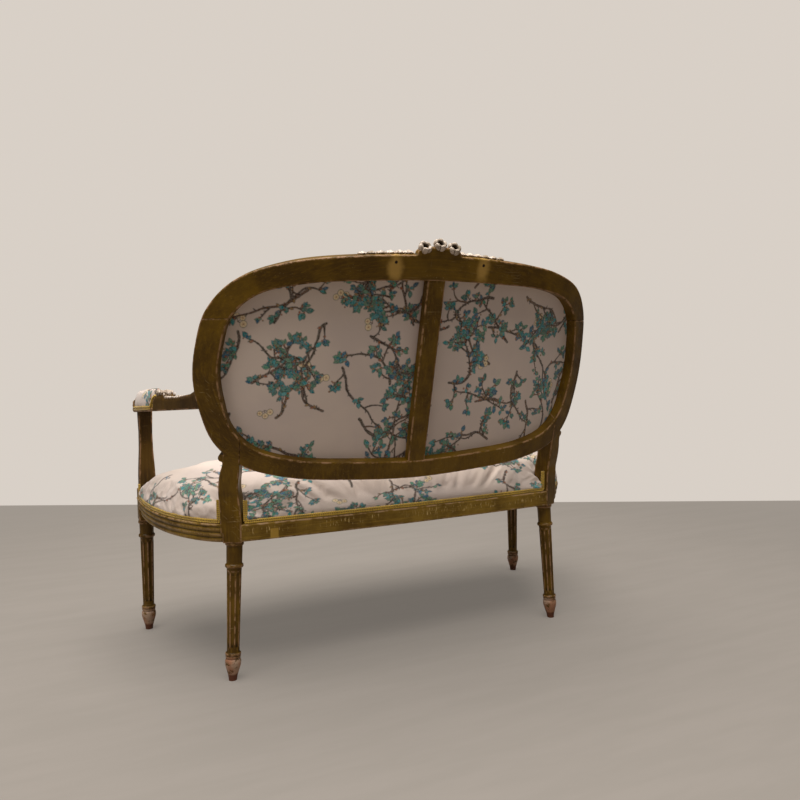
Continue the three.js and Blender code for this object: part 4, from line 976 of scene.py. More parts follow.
# A leg's turned profile, as distances along it and radii: down from its top, from its collar and from its
# ankle ring, and up from the floor as shares of the foot
CAP_ROWS = [
    (-10, COLLAR_RADIUS - 1), (0.5, COLLAR_RADIUS - 1), (2, COLLAR_RADIUS + 0.4),
    (CAP_HEIGHT, COLLAR_RADIUS + 0.4), (CAP_HEIGHT + 1, NECK_RADIUS + 0.6), (CAP_HEIGHT + 3, NECK_RADIUS),
]
COLLAR_ROWS = [
    (-6, NECK_RADIUS - 0.5), (-4.5, NECK_RADIUS + 1), (-3, COLLAR_RADIUS), (2, COLLAR_RADIUS + 0.3),
    (4, SHAFT_RADIUS + 1.5), (6, SHAFT_RADIUS), (20, SHAFT_RADIUS),
]
RING_ROWS = [
    (-8, ANKLE_RADIUS), (-2, ANKLE_RADIUS + 0.3), (0, ANKLE_RING_RADIUS),
    (0.4 * ANKLE_RING_HEIGHT, ANKLE_RING_RADIUS), (0.48 * ANKLE_RING_HEIGHT, ANKLE_RADIUS + 0.6),
    (0.56 * ANKLE_RING_HEIGHT, ANKLE_RING_RADIUS - 0.6), (0.9 * ANKLE_RING_HEIGHT, ANKLE_RING_RADIUS - 0.6),
    (ANKLE_RING_HEIGHT, ANKLE_RADIUS + 0.5),
]
FOOT_ROWS = [
    (0.93, FOOT_RADIUS - 0.8), (0.8, FOOT_RADIUS), (0.66, FOOT_RADIUS - 1),
    (0.38, lerp(FOOT_TIP_RADIUS, FOOT_RADIUS, 0.42)), (0.2, FOOT_TIP_RADIUS + 1.2),
]


def leg(top, collar_drop, splay):
    """A turned and fluted leg, from inside its block down to the floor."""
    axis = np.array([splay[0], splay[1], -1.0])
    length = top[2] * np.linalg.norm(axis)
    axis /= np.linalg.norm(axis)
    ring_top = length - FOOT_HEIGHT - ANKLE_RING_HEIGHT
    rows = CAP_ROWS + [(collar_drop + drop, radius) for drop, radius in COLLAR_ROWS]
    rows += [(ring_top + drop, radius) for drop, radius in RING_ROWS]
    rows += [(length - FOOT_HEIGHT * share, radius) for share, radius in FOOT_ROWS]
    rows += [(length - 2, FOOT_TIP_RADIUS), (length + 4, FOOT_TIP_RADIUS)]
    line = filleted(rows, 1.4, closed=False)
    drops = [line[0]]
    for a, b in zip(line[:-1], line[1:]):
        count = max(1, int(np.linalg.norm(b - a) / 3))
        drops += [lerp(a, b, k / count) for k in range(1, count + 1)]
    drops = np.array(drops)
    angles = round_angles(TURNED_SIDES)
    phase = (angles * FLUTE_COUNT / (2 * math.pi)) % 1 - 0.5
    channel = np.sqrt(np.clip(1 - (phase / FLUTE_HALF_SHARE) ** 2, 0, 1))
    from_top = drops[:, 0] - collar_drop - FLUTE_TOP_GAP
    from_low = ring_top - FLUTE_LOW_GAP - drops[:, 0]
    along = np.clip(np.minimum(from_top / FLUTE_END, from_low / FLUTE_END), 0, 1)
    along = np.sqrt(1 - (1 - along) ** 2)
    radius = drops[:, 1][:, None] * (1 - FLUTE_DEPTH_SHARE * along[:, None] * channel[None, :])
    flat = np.stack([
        radius * np.cos(angles), radius * np.sin(angles), np.broadcast_to(-drops[:, :1], radius.shape),
    ], axis=-1)
    solid = loft(flat @ swing((0, 0, -1), axis) + np.array(top))
    return cut(solid, [((0, 0, 0), (0, 0, -1))])


WOOD_PITCH = 1.6
knuckle = disc(
    on_back(KNUCKLE_X, KNUCKLE_Z, KNUCKLE_SINK), -back_normal(KNUCKLE_X, KNUCKLE_Z), KNUCKLE_RADIUS,
    FRAME_THICKNESS - 2 * KNUCKLE_SINK,
)
upright = fused(joined(side_ring, stile(), knuckle, rear_block()), WOOD_PITCH)
rear_leg = leg((*block_centre, REAR_BLOCK_BOTTOM_Z), REAR_COLLAR_DROP, REAR_SPLAY)
finish_pair("upright", upright, wood, ["rear_upright"], CARVED_ANGLE)
finish_pair("rear_leg", rear_leg, legs, [])

front_block = rounded_box(
    (FRONT_BLOCK_WIDTH, FRONT_BLOCK_WIDTH, FRONT_BLOCK_TOP_Z - FRONT_BLOCK_BOTTOM_Z), BLOCK_EDGE,
    Matrix.Translation((FRONT_BLOCK_X, FRONT_BLOCK_Y, (FRONT_BLOCK_TOP_Z + FRONT_BLOCK_BOTTOM_Z) / 2)),
)
front_leg = leg((FRONT_LEG_X, FRONT_BLOCK_Y, FRONT_BLOCK_BOTTOM_Z), FRONT_COLLAR_DROP, FRONT_SPLAY)


def rosette():
    """A flat eight-petalled rosette on the front face of the block."""
    angles = round_angles(TURNED_SIDES)
    rings = []
    for share, height in ROSETTE_PROFILE:
        petals = 1 + smooth_step(0.3, 0.6, share) * 0.13 * (np.abs(np.cos(angles * 4)) - 0.6)
        radius = ROSETTE_RADIUS * share * petals
        x, z = radius * np.cos(angles), radius * np.sin(angles)
        rings.append(np.column_stack([x, np.full(TURNED_SIDES, -height), z]))
    points, faces = loft(rings)
    return points + (FRONT_BLOCK_X, FRONT_BLOCK_Y - FRONT_BLOCK_WIDTH / 2, ROSETTE_Z), faces


front_foot = joined(fused(front_block, WOOD_PITCH), front_leg, rosette())
finish_pair("front_leg_turned", front_foot, legs, ["front_leg"])

top_rail = cut(fused(joined(top_ring, lobe()), WOOD_PITCH), ring_part(*TOP_PART))
finish_piece("top_rail", top_rail, wood, ["back_top_rail"], CARVED_ANGLE)
bottom_rail = cut(fused(bottom_rail, WOOD_PITCH), ring_part(*BOTTOM_PART))
finish_piece("bottom_rail", bottom_rail, wood, ["back_bottom_rail"])


def brace():
    half = BRACE_WIDTH / 2
    section = filleted([(-half, 0), (half, 0), (half, BRACE_THICKNESS), (-half, BRACE_THICKNESS)], 2)
    low = OVAL_MID_Z - OPENING_DROP - BRACE_SPARE
    high = OVAL_MID_Z + OPENING_RISE + BRACE_SPARE
    depth = BRACE_SETBACK + section[:, 1]
    return loft([on_back(section[:, 0], z, depth) for z in np.linspace(low, high, 60)])


finish_piece("center_brace", fused(brace(), WOOD_PITCH), legs, ["back_center_brace"])


# Seat rails

def side_plan(share):
    out = (1 - share**SIDE_FULLNESS) ** (1 / SIDE_SHARPNESS)
    return np.column_stack([SIDE_CENTRE_X + SIDE_REACH_X * out, SIDE_CENTRE_Y + SIDE_REACH_Y * share])


def rear_plan(x):
    return np.column_stack([x, REAR_RAIL_Y - REAR_RAIL_BOW * (x / STILE_INNER_X) ** 2])


def front_plan(x):
    bow = FRONT_RAIL_BOW * (x / (FRONT_BLOCK_X - FRONT_BLOCK_WIDTH / 2)) ** 2
    return np.column_stack([x, FRONT_RAIL_Y + bow])


def outwards(path):
    """Unit directions to the outer side of a plan path, which is on its left."""
    along = unit(np.gradient(path, axis=0))
    return np.column_stack([along[:, 1], -along[:, 0]])


def seat_rail(path, shares, height):
    """A rail of the seat frame, moulded on its outer face."""
    corners = [(-inwards * MOULDING_DEPTH, rise * height) for inwards, rise in shares]
    corners += [(-RAIL_THICKNESS, height), (-RAIL_THICKNESS, 0)]
    section = filleted(corners, RAIL_EDGE, 5)
    flat = path[:, None, :] + outwards(path)[:, None, :] * section[None, :, :1]
    z = np.broadcast_to(RAIL_TOP_Z - height + section[:, 1], flat.shape[:2])
    return fused(loft(np.concatenate([flat, z[..., None]], axis=-1)), RAIL_PITCH, 1)


rear_path = rear_plan(np.linspace(STILE_INNER_X + 2, -STILE_INNER_X - 2, 160))
side_path = side_plan(np.linspace(0, 1, 140))
front_path = front_plan(np.linspace(-FRONT_BLOCK_X, FRONT_BLOCK_X, 200))
rear_rail = seat_rail(rear_path, PLAIN_SHARES, REAR_RAIL_HEIGHT)
front_rail = seat_rail(front_path, REED_SHARES, RAIL_HEIGHT)
side_rail = seat_rail(side_path, REED_SHARES, RAIL_HEIGHT)
finish_piece("rear_rail", rear_rail, rail_wood, ["seat_rail_rear"])
finish_piece("front_rail", front_rail, rail_wood, ["seat_rail_front"])
finish_pair("side_rail", side_rail, rail_wood, ["seat_rail"])


# Arms

def bud(centre, width, height, reach=0.8):
    """A ridged bud, its axis across the settee."""
    angles = round_angles(BUD_SIDES)
    rings = []
    for rise in np.linspace(-0.97, 0.97, BUD_ROWS):
        out = math.sqrt(1 - rise * rise)
        ridge = 1 + 0.1 * np.cos(angles * 5 + rise * 2)
        rings.append(np.column_stack([
            np.full(BUD_SIDES, rise * width), np.cos(angles) * out * width * reach * ridge,
            np.sin(angles) * out * height * ridge,
        ]) + centre)
    return loft(rings)


arm_knots = []
for share in np.linspace(0, 1, 7):
    bow = ARM_BOW_OUT * math.sin(share * math.pi) / 2
    x = lerp(ARM_REAR[0], ARM_FRONT[0], math.sin(share * math.pi / 2)) + bow
    arm_knots.append((x, lerp(ARM_REAR[1], ARM_FRONT[1], share), lerp(ARM_REAR[2], ARM_FRONT[2], share)))
arm_line = centripetal(arm_knots, np.linspace(0, 1, 200))
arm_length = np.linalg.norm(np.diff(arm_line, axis=0), axis=1).sum()


def on_arm(share, across, rise):
    """Points by share along the arm, distance to its right and height over its underside."""
    share, across, rise = np.broadcast_arrays(np.asarray(share, float), across, rise)
    spots, step = share.ravel(), 0.002
    along = centripetal(arm_knots, np.minimum(spots + step, 1)) - centripetal(arm_knots, spots - step)
    along[:, 2] = 0
    along = unit(along)
    side = np.column_stack([-along[:, 1], along[:, 0], np.zeros(len(along))])
    point = centripetal(arm_knots, spots) + side * across.ravel()[:, None]
    point[:, 2] += rise.ravel()
    return point.reshape(*share.shape, 3)


def arm_size(share):
    """Width and height of the arm at shares along it."""
    at, widths, heights = np.array(ARM_SHARES).T
    return ARM_WIDTH * np.interp(share, at, widths), ARM_THICKNESS * np.interp(share, at, heights)


def arm_top(share):
    return float(arm_size(share)[1])


def arm():
    half = filleted([(-x, y) for x, y in ARM_SECTION_SHARES[::-1]] + ARM_SECTION_SHARES, 0.07)
    half = resampled(np.vstack([half, half[:1]]), 0.02)[:-1]
    shares = np.linspace(0, 1, 240)
    widths, heights = arm_size(shares)
    across = half[None, :, 0] * widths[:, None]
    rise = half[None, :, 1] * heights[:, None]
    middle = heights[:, None] / 2
    angle = np.arctan2(rise - middle, across)
    lobes = 0.07 * smooth_step(0.94, 0.952, shares)[:, None] * (np.abs(np.cos(angle * 7)) - 0.6)
    return loft(on_arm(shares[:, None], across * (1 + lobes), middle + (rise - middle) * (1 + lobes)))


finish_pair("open_arm", fused(arm(), WOOD_PITCH), shaded_arm_wood, ["arm"], CARVED_ANGLE)

# Carved leaves behind the pad: their start and end along the arm, width, arch and distance from its middle
LEAF_BLADES = [(0.475, 0.37, 13, 9, 0), (0.478, 0.41, 7, 11, 8), (0.478, 0.41, 7, 11, -8)]

# Scrolls beside the leaves: their place along the arm, radius and lift
SCROLLS = [(0.452, 6.2, 3.5), (0.425, 5.6, 2.5), (0.4, 5, 1.5), (0.372, 4.2, 0)]
SCROLL_OFFSET = 14
SCROLL_TURNS = 1.35
SCROLL_WIDTH = 1.7

# Beads that trail off up the arm
BEAD_START = 0.345
BEAD_END = 0.16
BEAD_OFFSET = 15
BEAD_SIZES = (3.6, 1.8)


def curl(centre, radius, flip):
    """A carved scroll: a tapering spiral round a small eye, its axis across the arm."""
    turns = np.linspace(0, SCROLL_TURNS * 2 * math.pi, 60)
    out = radius * (1 - 0.62 * turns / turns[-1])
    thickness = radius * (0.3 - 0.12 * turns / turns[-1])
    path = np.column_stack([np.zeros(60), flip * out * np.cos(turns), out * np.sin(turns)])
    points, faces = tube(path, thickness, unit(path), np.broadcast_to((SCROLL_WIDTH, 0, 0), path.shape), 12)
    return joined((points + centre, faces), bud(np.array(centre), radius * 0.35, radius * 0.3))


def leaf_blade(start, end, width, arch, offset):
    """A carved leaf along the arm's top, ribbed, hollow along its middle and rolled up at its tip."""
    side = np.linspace(-1, 1, 25)
    rib = 1.3 * np.cos(side * 3.5 * math.pi) * (1 - np.abs(side) ** 3)
    rings = []
    for t in np.linspace(0, 1, 40):
        share = lerp(start, end, t)
        spread = width * math.sin(math.pi * min(0.12 + t * 0.86, 1)) ** 0.7
        top = arm_top(share) - 1 + arch * math.sin(math.pi * t) ** 0.8 - 2.5 * side**2 + rib + 7 * t**6
        line = on_arm(share, offset + side * spread, top)
        under = on_arm(share, offset + side[::-1] * spread * 0.96, arm_top(share) - 5)
        rings.append(np.vstack([line, under]))
    return loft(rings)


def arm_carving():
    """The leaves behind the pad, with scrolls on both edges that trail off up the arm."""
    parts = [leaf_blade(*blade) for blade in LEAF_BLADES]
    for side in (1, -1):
        for share, radius, lift in SCROLLS:
            parts.append(curl(on_arm(share, side * SCROLL_OFFSET, arm_top(share) + lift), radius, side))
        for share in np.linspace(BEAD_START, BEAD_END, 9):
            size = lerp(*BEAD_SIZES, (BEAD_START - share) / (BEAD_START - BEAD_END))
            parts.append(bud(on_arm(share, side * BEAD_OFFSET, arm_top(share) - 2), size * 1.25, size))
    return joined(*parts)


CARVING_PITCH = 0.9
finish_pair("arm_carving", fused(arm_carving(), CARVING_PITCH, 1), carved, [], CARVED_ANGLE)


def arm_support():
    section = filleted([(-0.5, -0.5), (0.5, -0.5), (0.5, 0.5), (-0.5, 0.5)], 0.1)
    table = np.array(SUPPORT_SHARES)
    rings = []
    for rise in np.linspace(0, 1, 60):
        share = np.interp(rise, table[:, 0], table[:, 1])
        width = lerp(SUPPORT_BASE[0], SUPPORT_TOP[0], rise) * share
        depth = lerp(SUPPORT_BASE[1], SUPPORT_TOP[1], rise)
        z = lerp(FRONT_BLOCK_TOP_Z - 4, ARM_FRONT[2] + ARM_THICKNESS / 4, rise)
        rings.append(at_height(section * (width, depth) + (SUPPORT_X, FRONT_BLOCK_Y), z))
    return loft(rings)


finish_pair("arm_post", fused(arm_support(), WOOD_PITCH), shaded_arm_wood, ["arm_support"])


# Crest

ROSE_PROFILE = [
    (0.45, -9), (0.8, -7), (1, -2), (1.02, 2), (0.95, 5.5), (0.78, 8), (0.6, 7.5), (0.48, 5), (0.42, 0),
    (0.34, -5.5), (0.1, -7),
]
ROSE_ROWS = 60
ROSE_SIDES = 140
rose_profile = centripetal(ROSE_PROFILE, np.linspace(0, 1, ROSE_ROWS))


def rose(x, lift):
    """A rose with a deep cup that looks back and up, ringed by rolled petals; the cup's dark colour is
    painted shade.
    """
    centre = on_back(x, OVAL_MID_Z + OVAL_RISE + lift, ROSE_SETBACK)
    angles = round_angles(ROSE_SIDES)
    phase = angles * 2.5 + 0.04 * x
    lap = np.abs(np.sin(phase)) ** 0.5
    rings = []
    for share, height in rose_profile:
        small = np.abs(np.sin(phase + 1.1 + share)) ** 0.7
        outer = smooth_step(0.45, 0.9, share)
        wave = outer * (0.22 * lap - 0.18) + (1 - outer) * (0.14 * small - 0.07)
        radius = ROSE_RADIUS * share * (1 + wave)
        rise = height + smooth_step(-6, 6, height) * (2.6 * lap - 1.6)
        rings.append(np.column_stack([radius * np.cos(angles), radius * np.sin(angles), rise]))
    points, faces = loft(rings)
    return points @ swing((0, 0, 1), (0, math.cos(ROSE_TILT), math.sin(ROSE_TILT))) + centre, faces


def rose_hollow():
    """How far each point of a rose lies in its cup, which sets where its painted shade falls."""
    in_cup = np.arange(ROSE_ROWS) > ROSE_ROWS // 2
    return np.repeat(np.where(in_cup, smooth_step(0.56, 0.4, rose_profile[:, 0]), 0), ROSE_SIDES)


# Each bud of the garland and the two leaves that lap it: shift along the edge, width and height
BUD_SIZES = [(0, 8.2, 6.6), (-7.5, 5.4, 4.6), (7.5, 5.4, 4.6)]


def garland():
    """Buds along the top edge, each half in the wood and lapped by small leaves."""
    parts = []
    top = oval_line[RING_STEPS // 4:RING_STEPS // 2]
    for i in range(BERRY_COUNT):
        size = 1 - 0.3 * i / BERRY_COUNT
        x = LOBE_HALF_WIDTH + 2 + (i + 0.5) * BERRY_PITCH
        edge = np.interp(-x, -top[:, 0], top[:, 1])
        centre = on_back(x, edge + 0.5, BERRY_SETBACK)
        for shift, width, height in BUD_SIZES:
            parts.append(bud(centre + (shift * size, 4, -1), width * size, height * size, 1.9))
    return joined(*parts)


roses = [finish_piece("rose_center", rose(0, ROSE_MID_LIFT), carved, ["crest_rose_center"])]
roses += finish_pair("rose", rose(ROSE_SPACING, ROSE_SIDE_LIFT), carved, ["crest_rose"])
# The hollow layer of each rose sets the painted shade in its cup
for piece in roses:
    hollow = piece.data.attributes.new("hollow", "FLOAT", "POINT")
    hollow.data.foreach_set("value", rose_hollow().astype(np.float32))
finish_pair("garland", garland(), carved, ["crest_garland"])


# Print of the cloth: leafy sprays with seed discs, drawn in vector strokes on a fine grid

PRINT_CELL = 1.0
LEAF_RIM = 0.9
BRANCH_RIM = 1.3
INK = (0.02, 0.012, 0.007)
BARKS = [(0.1, 0.038, 0.015), (0.16, 0.066, 0.02), (0.06, 0.042, 0.018), (0.045, 0.02, 0.012)]
TEALS = [
    (0.004, 0.25, 0.28), (0.01, 0.33, 0.35), (0.05, 0.27, 0.17), (0.002, 0.14, 0.25), (0.1, 0.3, 0.19),
    (0.02, 0.2, 0.17),
]
RUST = (0.38, 0.1, 0.025)
OCHRE = (0.36, 0.2, 0.06)
CREAM = (0.82, 0.66, 0.4)

# Chances at each step of a branch, added up: a spur, a leaf, a twig with its tuft, a lesser branch
SPUR_CHANCE, LEAF_CHANCE, TWIG_CHANCE, FORK_CHANCE = np.cumsum([0.2, 0.06, 0.05, 0.11])
WALK_STEP = 5
BRANCH_WIDTH = 5
FORK_DEPTH = 2
SPUR_WIDTH = 2.4
TWIG_WIDTH = 2.6
SEED_DISC_CHANCE = 0.25
SEED_STALK = 10
SEED_SPREAD = 1.1
GOLDEN_ANGLE = 2.4

# Half width and half height of each print's sheet, and how far its branches start from each other
BACK_PRINT = (540, 300, 98)
SEAT_PRINT = (780, 420, 126)
PAD_PRINT = (260, 130, 66)


class Print:
    """Colours and cover of a print on a flat sheet, in millimetres."""

    def __init__(self, half_width, half_height):
        self.low = np.array([-half_width, -half_height], float)
        size = (int(2 * half_height / PRINT_CELL) + 1, int(2 * half_width / PRINT_CELL) + 1)
        self.colour = np.zeros((*size, 3))
        self.cover = np.zeros(size)

    def draw(self, centre, reach, distance, colour):
        """Lays colour where distance(x, y), in millimetres from centre, is below zero."""
        col, row = (np.asarray(centre) - self.low) / PRINT_CELL
        span = int(reach / PRINT_CELL) + 2
        r0, r1 = max(int(row) - span, 0), min(int(row) + span, self.cover.shape[0])
        c0, c1 = max(int(col) - span, 0), min(int(col) + span, self.cover.shape[1])
        if r0 >= r1 or c0 >= c1:
            return
        y = (np.arange(r0, r1) - row) * PRINT_CELL
        x = (np.arange(c0, c1) - col) * PRINT_CELL
        alpha = np.clip(0.5 - distance(*np.meshgrid(x, y)) / PRINT_CELL, 0, 1)
        window = (slice(r0, r1), slice(c0, c1))
        under = self.cover[window] * (1 - alpha)
        total = alpha + under
        mixed = np.asarray(colour) * alpha[..., None] + self.colour[window] * under[..., None]
        self.colour[window] = mixed / np.maximum(total, TINY)[..., None]
        self.cover[window] = total

    def leaf(self, centre, heading, length, width, colour):
        """A pointed leaf with a dark rim and a dark rib."""
        c, s = math.cos(heading), math.sin(heading)

        def shape(grow):
            def distance(x, y):
                u = (x * c + y * s) / (length / 2 + grow)
                v = (-x * s + y * c) / (width / 2 + grow)
                return (np.abs(v) + u * u - 1 + 0.25 * u * (1 - u * u)) * width / 2
            return distance

        def rib(x, y):
            u, v = x * c + y * s, -x * s + y * c
            return np.maximum(np.abs(v) - 0.35, np.abs(u) - length * 0.33)

        self.draw(centre, length, shape(LEAF_RIM), INK)
        self.draw(centre, length, shape(0), colour)
        self.draw(centre, length, rib, np.asarray(colour) * 0.45)

    def dot(self, centre, radius, colour, rim):
        if rim:
            self.draw(centre, radius + 2, lambda x, y: np.hypot(x, y) - radius - rim, INK)
        self.draw(centre, radius + 2, lambda x, y: np.hypot(x, y) - radius, colour)

    def stroke(self, points, widths, colour):
        for (a, b), width in zip(zip(points[:-1], points[1:]), widths):
            edge = b - a
            long = max(edge @ edge, TINY)

            def distance(x, y):
                t = np.clip((x * edge[0] + y * edge[1]) / long, 0, 1)
                return np.hypot(x - t * edge[0], y - t * edge[1]) - width / 2
            self.draw(a, math.sqrt(long) + width, distance, colour)

    def sample(self, flat):
        """Colour and cover at flat places, between the grid's cells."""
        limit = np.array(self.cover.shape[::-1]) - 1.001
        at = np.clip((flat - self.low) / PRINT_CELL, 0, limit)
        low = np.floor(at).astype(int)
        share = at - low
        result = 0
        for dx in (0, 1):
            for dy in (0, 1):
                across = np.where(dx, share[:, 0], 1 - share[:, 0])
                along = np.where(dy, share[:, 1], 1 - share[:, 1])
                row, col = low[:, 1] + dy, low[:, 0] + dx
                cover = self.cover[row, col][:, None]
                both = np.hstack([self.colour[row, col] * cover, cover])
                result = result + both * (across * along)[:, None]
        cover = np.maximum(result[:, 3:], TINY)
        return np.column_stack([result[:, :3] / cover, result[:, 3]])


def towards(heading):
    return np.array([math.cos(heading), math.sin(heading)])


def walk(start, heading, length, bend):
    """A wandering line: its points and its headings."""
    points, headings = [np.array(start, float)], [heading]
    turn = 0.0
    for _ in range(max(2, int(length / WALK_STEP))):
        turn = 0.6 * turn + rng.normal(0, bend)
        heading += turn
        headings.append(heading)
        points.append(points[-1] + WALK_STEP * towards(heading))
    return points, headings


def tuft(sheet, tip, heading, size):
    """Leaves and berries at a twig's end."""
    for _ in range(rng.integers(3, 7)):
        turn = heading + rng.normal(0, 1.2)
        long = size * rng.uniform(0.7, 1.25)
        away = towards(turn) * long * rng.uniform(0.3, 0.9)
        colour = np.array(TEALS[rng.integers(len(TEALS))]) * rng.uniform(0.75, 1.15)
        sheet.leaf(tip + away, turn, long, long * rng.uniform(0.45, 0.66), colour)
    for _ in range(rng.integers(1, 4)):
        place, radius = tip + rng.normal(0, 5, 2), rng.uniform(1.2, 2.2)
        sheet.dot(place, radius, RUST if rng.random() < 0.6 else OCHRE, 0.5)


def branch(sheet, start, heading, length, width, depth):
    """A knotty branch with spurs and leafy twigs, which forks into lesser ones and ends in a tuft."""
    points, headings = walk(start, heading, length, 0.1)
    count = len(points) - 1
    widths = np.linspace(width, width * 0.45, count) * rng.uniform(0.75, 1.25, count)
    sheet.stroke(points, widths + BRANCH_RIM, INK)
    sheet.stroke(points, widths * 0.5, BARKS[rng.integers(len(BARKS))])
    side = 1
    for i in range(1, count):
        chance = rng.random()
        side = -side if rng.random() < 0.6 else side
        turn = headings[i] + side * rng.uniform(0.5, 1.2)
        if chance < SPUR_CHANCE:
            sheet.stroke([points[i], points[i] + towards(turn) * rng.uniform(3, 8)], [SPUR_WIDTH], INK)
        elif chance < LEAF_CHANCE:
            sheet.leaf(points[i] + towards(turn) * 4, turn, 9, 4.5, OCHRE if rng.random() < 0.6 else RUST)
        elif chance < TWIG_CHANCE:
            tip = points[i] + towards(turn) * rng.uniform(7, 16)
            sheet.stroke([points[i], tip], [TWIG_WIDTH], INK)
            tuft(sheet, tip, turn, rng.uniform(11, 15))
        elif depth and chance < FORK_CHANCE:
            branch(sheet, points[i], turn, length * rng.uniform(0.18, 0.4), width * 0.66, depth - 1)
    tuft(sheet, points[-1], headings[-1], rng.uniform(11, 16))


def seed_discs(sheet, centre):
    """A sprig of pale round seed discs."""
    heading = rng.uniform(0, 2 * math.pi)
    for k in range(3):
        stalk = towards(heading + k * SEED_SPREAD) * SEED_STALK
        disc_centre = centre + stalk * 1.3
        sheet.stroke([np.array(centre), centre + stalk], [1.5], INK)
        sheet.dot(disc_centre, rng.uniform(5.5, 7.5), CREAM, 0.9)
        for spoke in round_angles(5):
            step = towards(spoke)
            sheet.stroke([disc_centre + step * 1.5, disc_centre + step * 4.5], [0.8], OCHRE)
        sheet.dot(disc_centre, 1.4, RUST, 0)


def new_print(half_width, half_height, spacing):
    """Branches that start on a jittered grid, with their headings spread evenly from one to the next."""
    sheet = Print(half_width, half_height)
    heading = rng.uniform(0, 2 * math.pi)
    columns = int(2 * half_width / spacing) + 2
    rows = int(2 * half_height / spacing) + 2
    for row in range(rows):
        for column in range(columns):
            place = np.array([column + 0.5 * (row % 2), row]) * spacing - (half_width, half_height)
            place += rng.uniform(-0.25, 0.25, 2) * spacing
            heading += GOLDEN_ANGLE + rng.uniform(-0.3, 0.3)
            branch(sheet, place, heading, rng.uniform(1.2, 2) * spacing, BRANCH_WIDTH, FORK_DEPTH)
            if rng.random() < SEED_DISC_CHANCE:
                seed_discs(sheet, place + rng.uniform(-0.5, 0.5, 2) * spacing)
    return sheet


def lay_print(obj, sheet, flat):
    """Stores the print's colours on a piece, at the flat place of each of its points."""
    layer = obj.data.color_attributes.new("print", "FLOAT_COLOR", "POINT")
    layer.data.foreach_set("color", sheet.sample(flat).astype(np.float32).ravel())


def points_of(obj):
    return solid_of(obj.data)[0]


# Upholstery

def outline_distance(points, outline):
    """Distance from each point to a closed outline, and the nearest place on it."""
    least = np.full(len(points), np.inf)
    nearest = np.zeros_like(points)
    after = np.roll(outline, -1, axis=0)
    for a, b in zip(outline, after):
        edge = b - a
        share = np.clip(((points - a) @ edge) / max(edge @ edge, 1e-9), 0, 1)
        foot = a + share[:, None] * edge
        distance = np.linalg.norm(points - foot, axis=1)
        closer = distance < least
        least[closer] = distance[closer]
        nearest[closer] = foot[closer]
    return least, nearest


def dome_share(distance, reach):
    t = np.clip(distance / reach, 0, 1)
    return (1 - (1 - t) ** SEAT_FULLNESS) ** (1 / SEAT_FULLNESS)


def inset(outline, distance):
    """A closed outline moved inwards by a distance, mitred at its corners."""
    before = unit(outline - np.roll(outline, 1, axis=0))
    after = np.roll(before, -1, axis=0)
    a = np.column_stack([-before[:, 1], before[:, 0]])
    b = np.column_stack([-after[:, 1], after[:, 0]])
    mitre = (a + b) / np.maximum(1 + (a * b).sum(axis=1), 0.2)[:, None]
    return outline + mitre * distance


def grid_sheet(outline, pitch):
    """A grid of points inside an outline, with its quads."""
    low, high = outline.min(axis=0) - pitch, outline.max(axis=0) + pitch
    xs = np.arange(low[0], high[0], pitch)
    ys = np.arange(low[1], high[1], pitch)
    grid = np.stack(np.meshgrid(xs, ys, indexing="ij"), axis=-1).reshape(-1, 2)
    keep = inside(grid, outline)
    index = -np.ones(len(grid), int)
    index[keep] = np.arange(keep.sum())
    rows = len(ys)
    i, j = np.meshgrid(np.arange(len(xs) - 1), np.arange(rows - 1), indexing="ij")
    corner = (i * rows + j).ravel()
    quads = index[np.column_stack([corner, corner + rows, corner + rows + 1, corner + 1])]
    return grid[keep], quads[(quads >= 0).all(axis=1)].tolist()


def inside(points, outline):
    result = np.zeros(len(points), bool)
    after = np.roll(outline, -1, axis=0)
    for (ax, ay), (bx, by) in zip(outline, after):
        if ay == by:
            continue
        crosses = (ay > points[:, 1]) != (by > points[:, 1])
        result ^= crosses & (points[:, 0] < (bx - ax) * (points[:, 1] - ay) / (by - ay) + ax)
    return result


# The outer cloth: its grid, how far it laps the frame, and how it sags towards its middle
CLOTH_PITCH = 1.5
OUTER_REACH = 1.5
OUTER_SAG = 1.5
OUTER_SAG_REACH = 60
outer_plan, outer_faces = grid_sheet(inset(opening_line, -OUTER_REACH), CLOTH_PITCH)
edge_distance, _ = outline_distance(outer_plan, opening_line[::2])
outer_depth = OUTER_CLOTH_DEPTH + OUTER_SAG * dome_share(edge_distance, OUTER_SAG_REACH)
outer_form = (on_back(outer_plan[:, 0], outer_plan[:, 1], outer_depth), outer_faces)
back_print = new_print(*BACK_PRINT)
outer_cloth = finish_piece("outer_cloth", outer_form, cloth_look, ["back_outer_cloth"])
lay_print(outer_cloth, back_print, outer_plan - (0, OVAL_MID_Z))

FRONT_DEPTH = FRAME_THICKNESS * RABBET_SHARE + 2 * FIT
BACK_SWELL = 5
BACK_REAR_INSET = 2
BACK_FRONT_REACH = 3.5
BACK_REAR_DEPTH = FRONT_DEPTH - 8


def back_pad():
    """The padding and its front cover, from the webbing out to the crown."""
    inner, outer = inset(opening_line, BACK_REAR_INSET), inset(opening_line, -BACK_FRONT_REACH)
    centre = outer.mean(axis=0)
    rings = []
    for share in np.linspace(0.03, 1, 24):
        plan_ring = lerp(centre, inner, share)
        rings.append(on_back(plan_ring[:, 0], plan_ring[:, 1], BACK_REAR_DEPTH))
    rings.append(on_back(outer[:, 0], outer[:, 1], FRONT_DEPTH))
    for share in 1 - np.linspace(0, 1, 60)[:-1] ** 1.8:
        plan_ring = lerp(centre, outer, share)
        distance, _ = outline_distance(plan_ring, opening_line[::3])
        crown = dome_share(distance, BACK_REACH) * (BACK_CROWN - BACK_SWELL)
        crown = np.where(inside(plan_ring, opening_line), crown, 0)
        rings.append(on_back(plan_ring[:, 0], plan_ring[:, 1], FRONT_DEPTH + CLOTH_THICKNESS + crown))
    return loft(rings)


def back_depth(points):
    return back_y(points[:, 0], points[:, 2]) - points[:, 1]


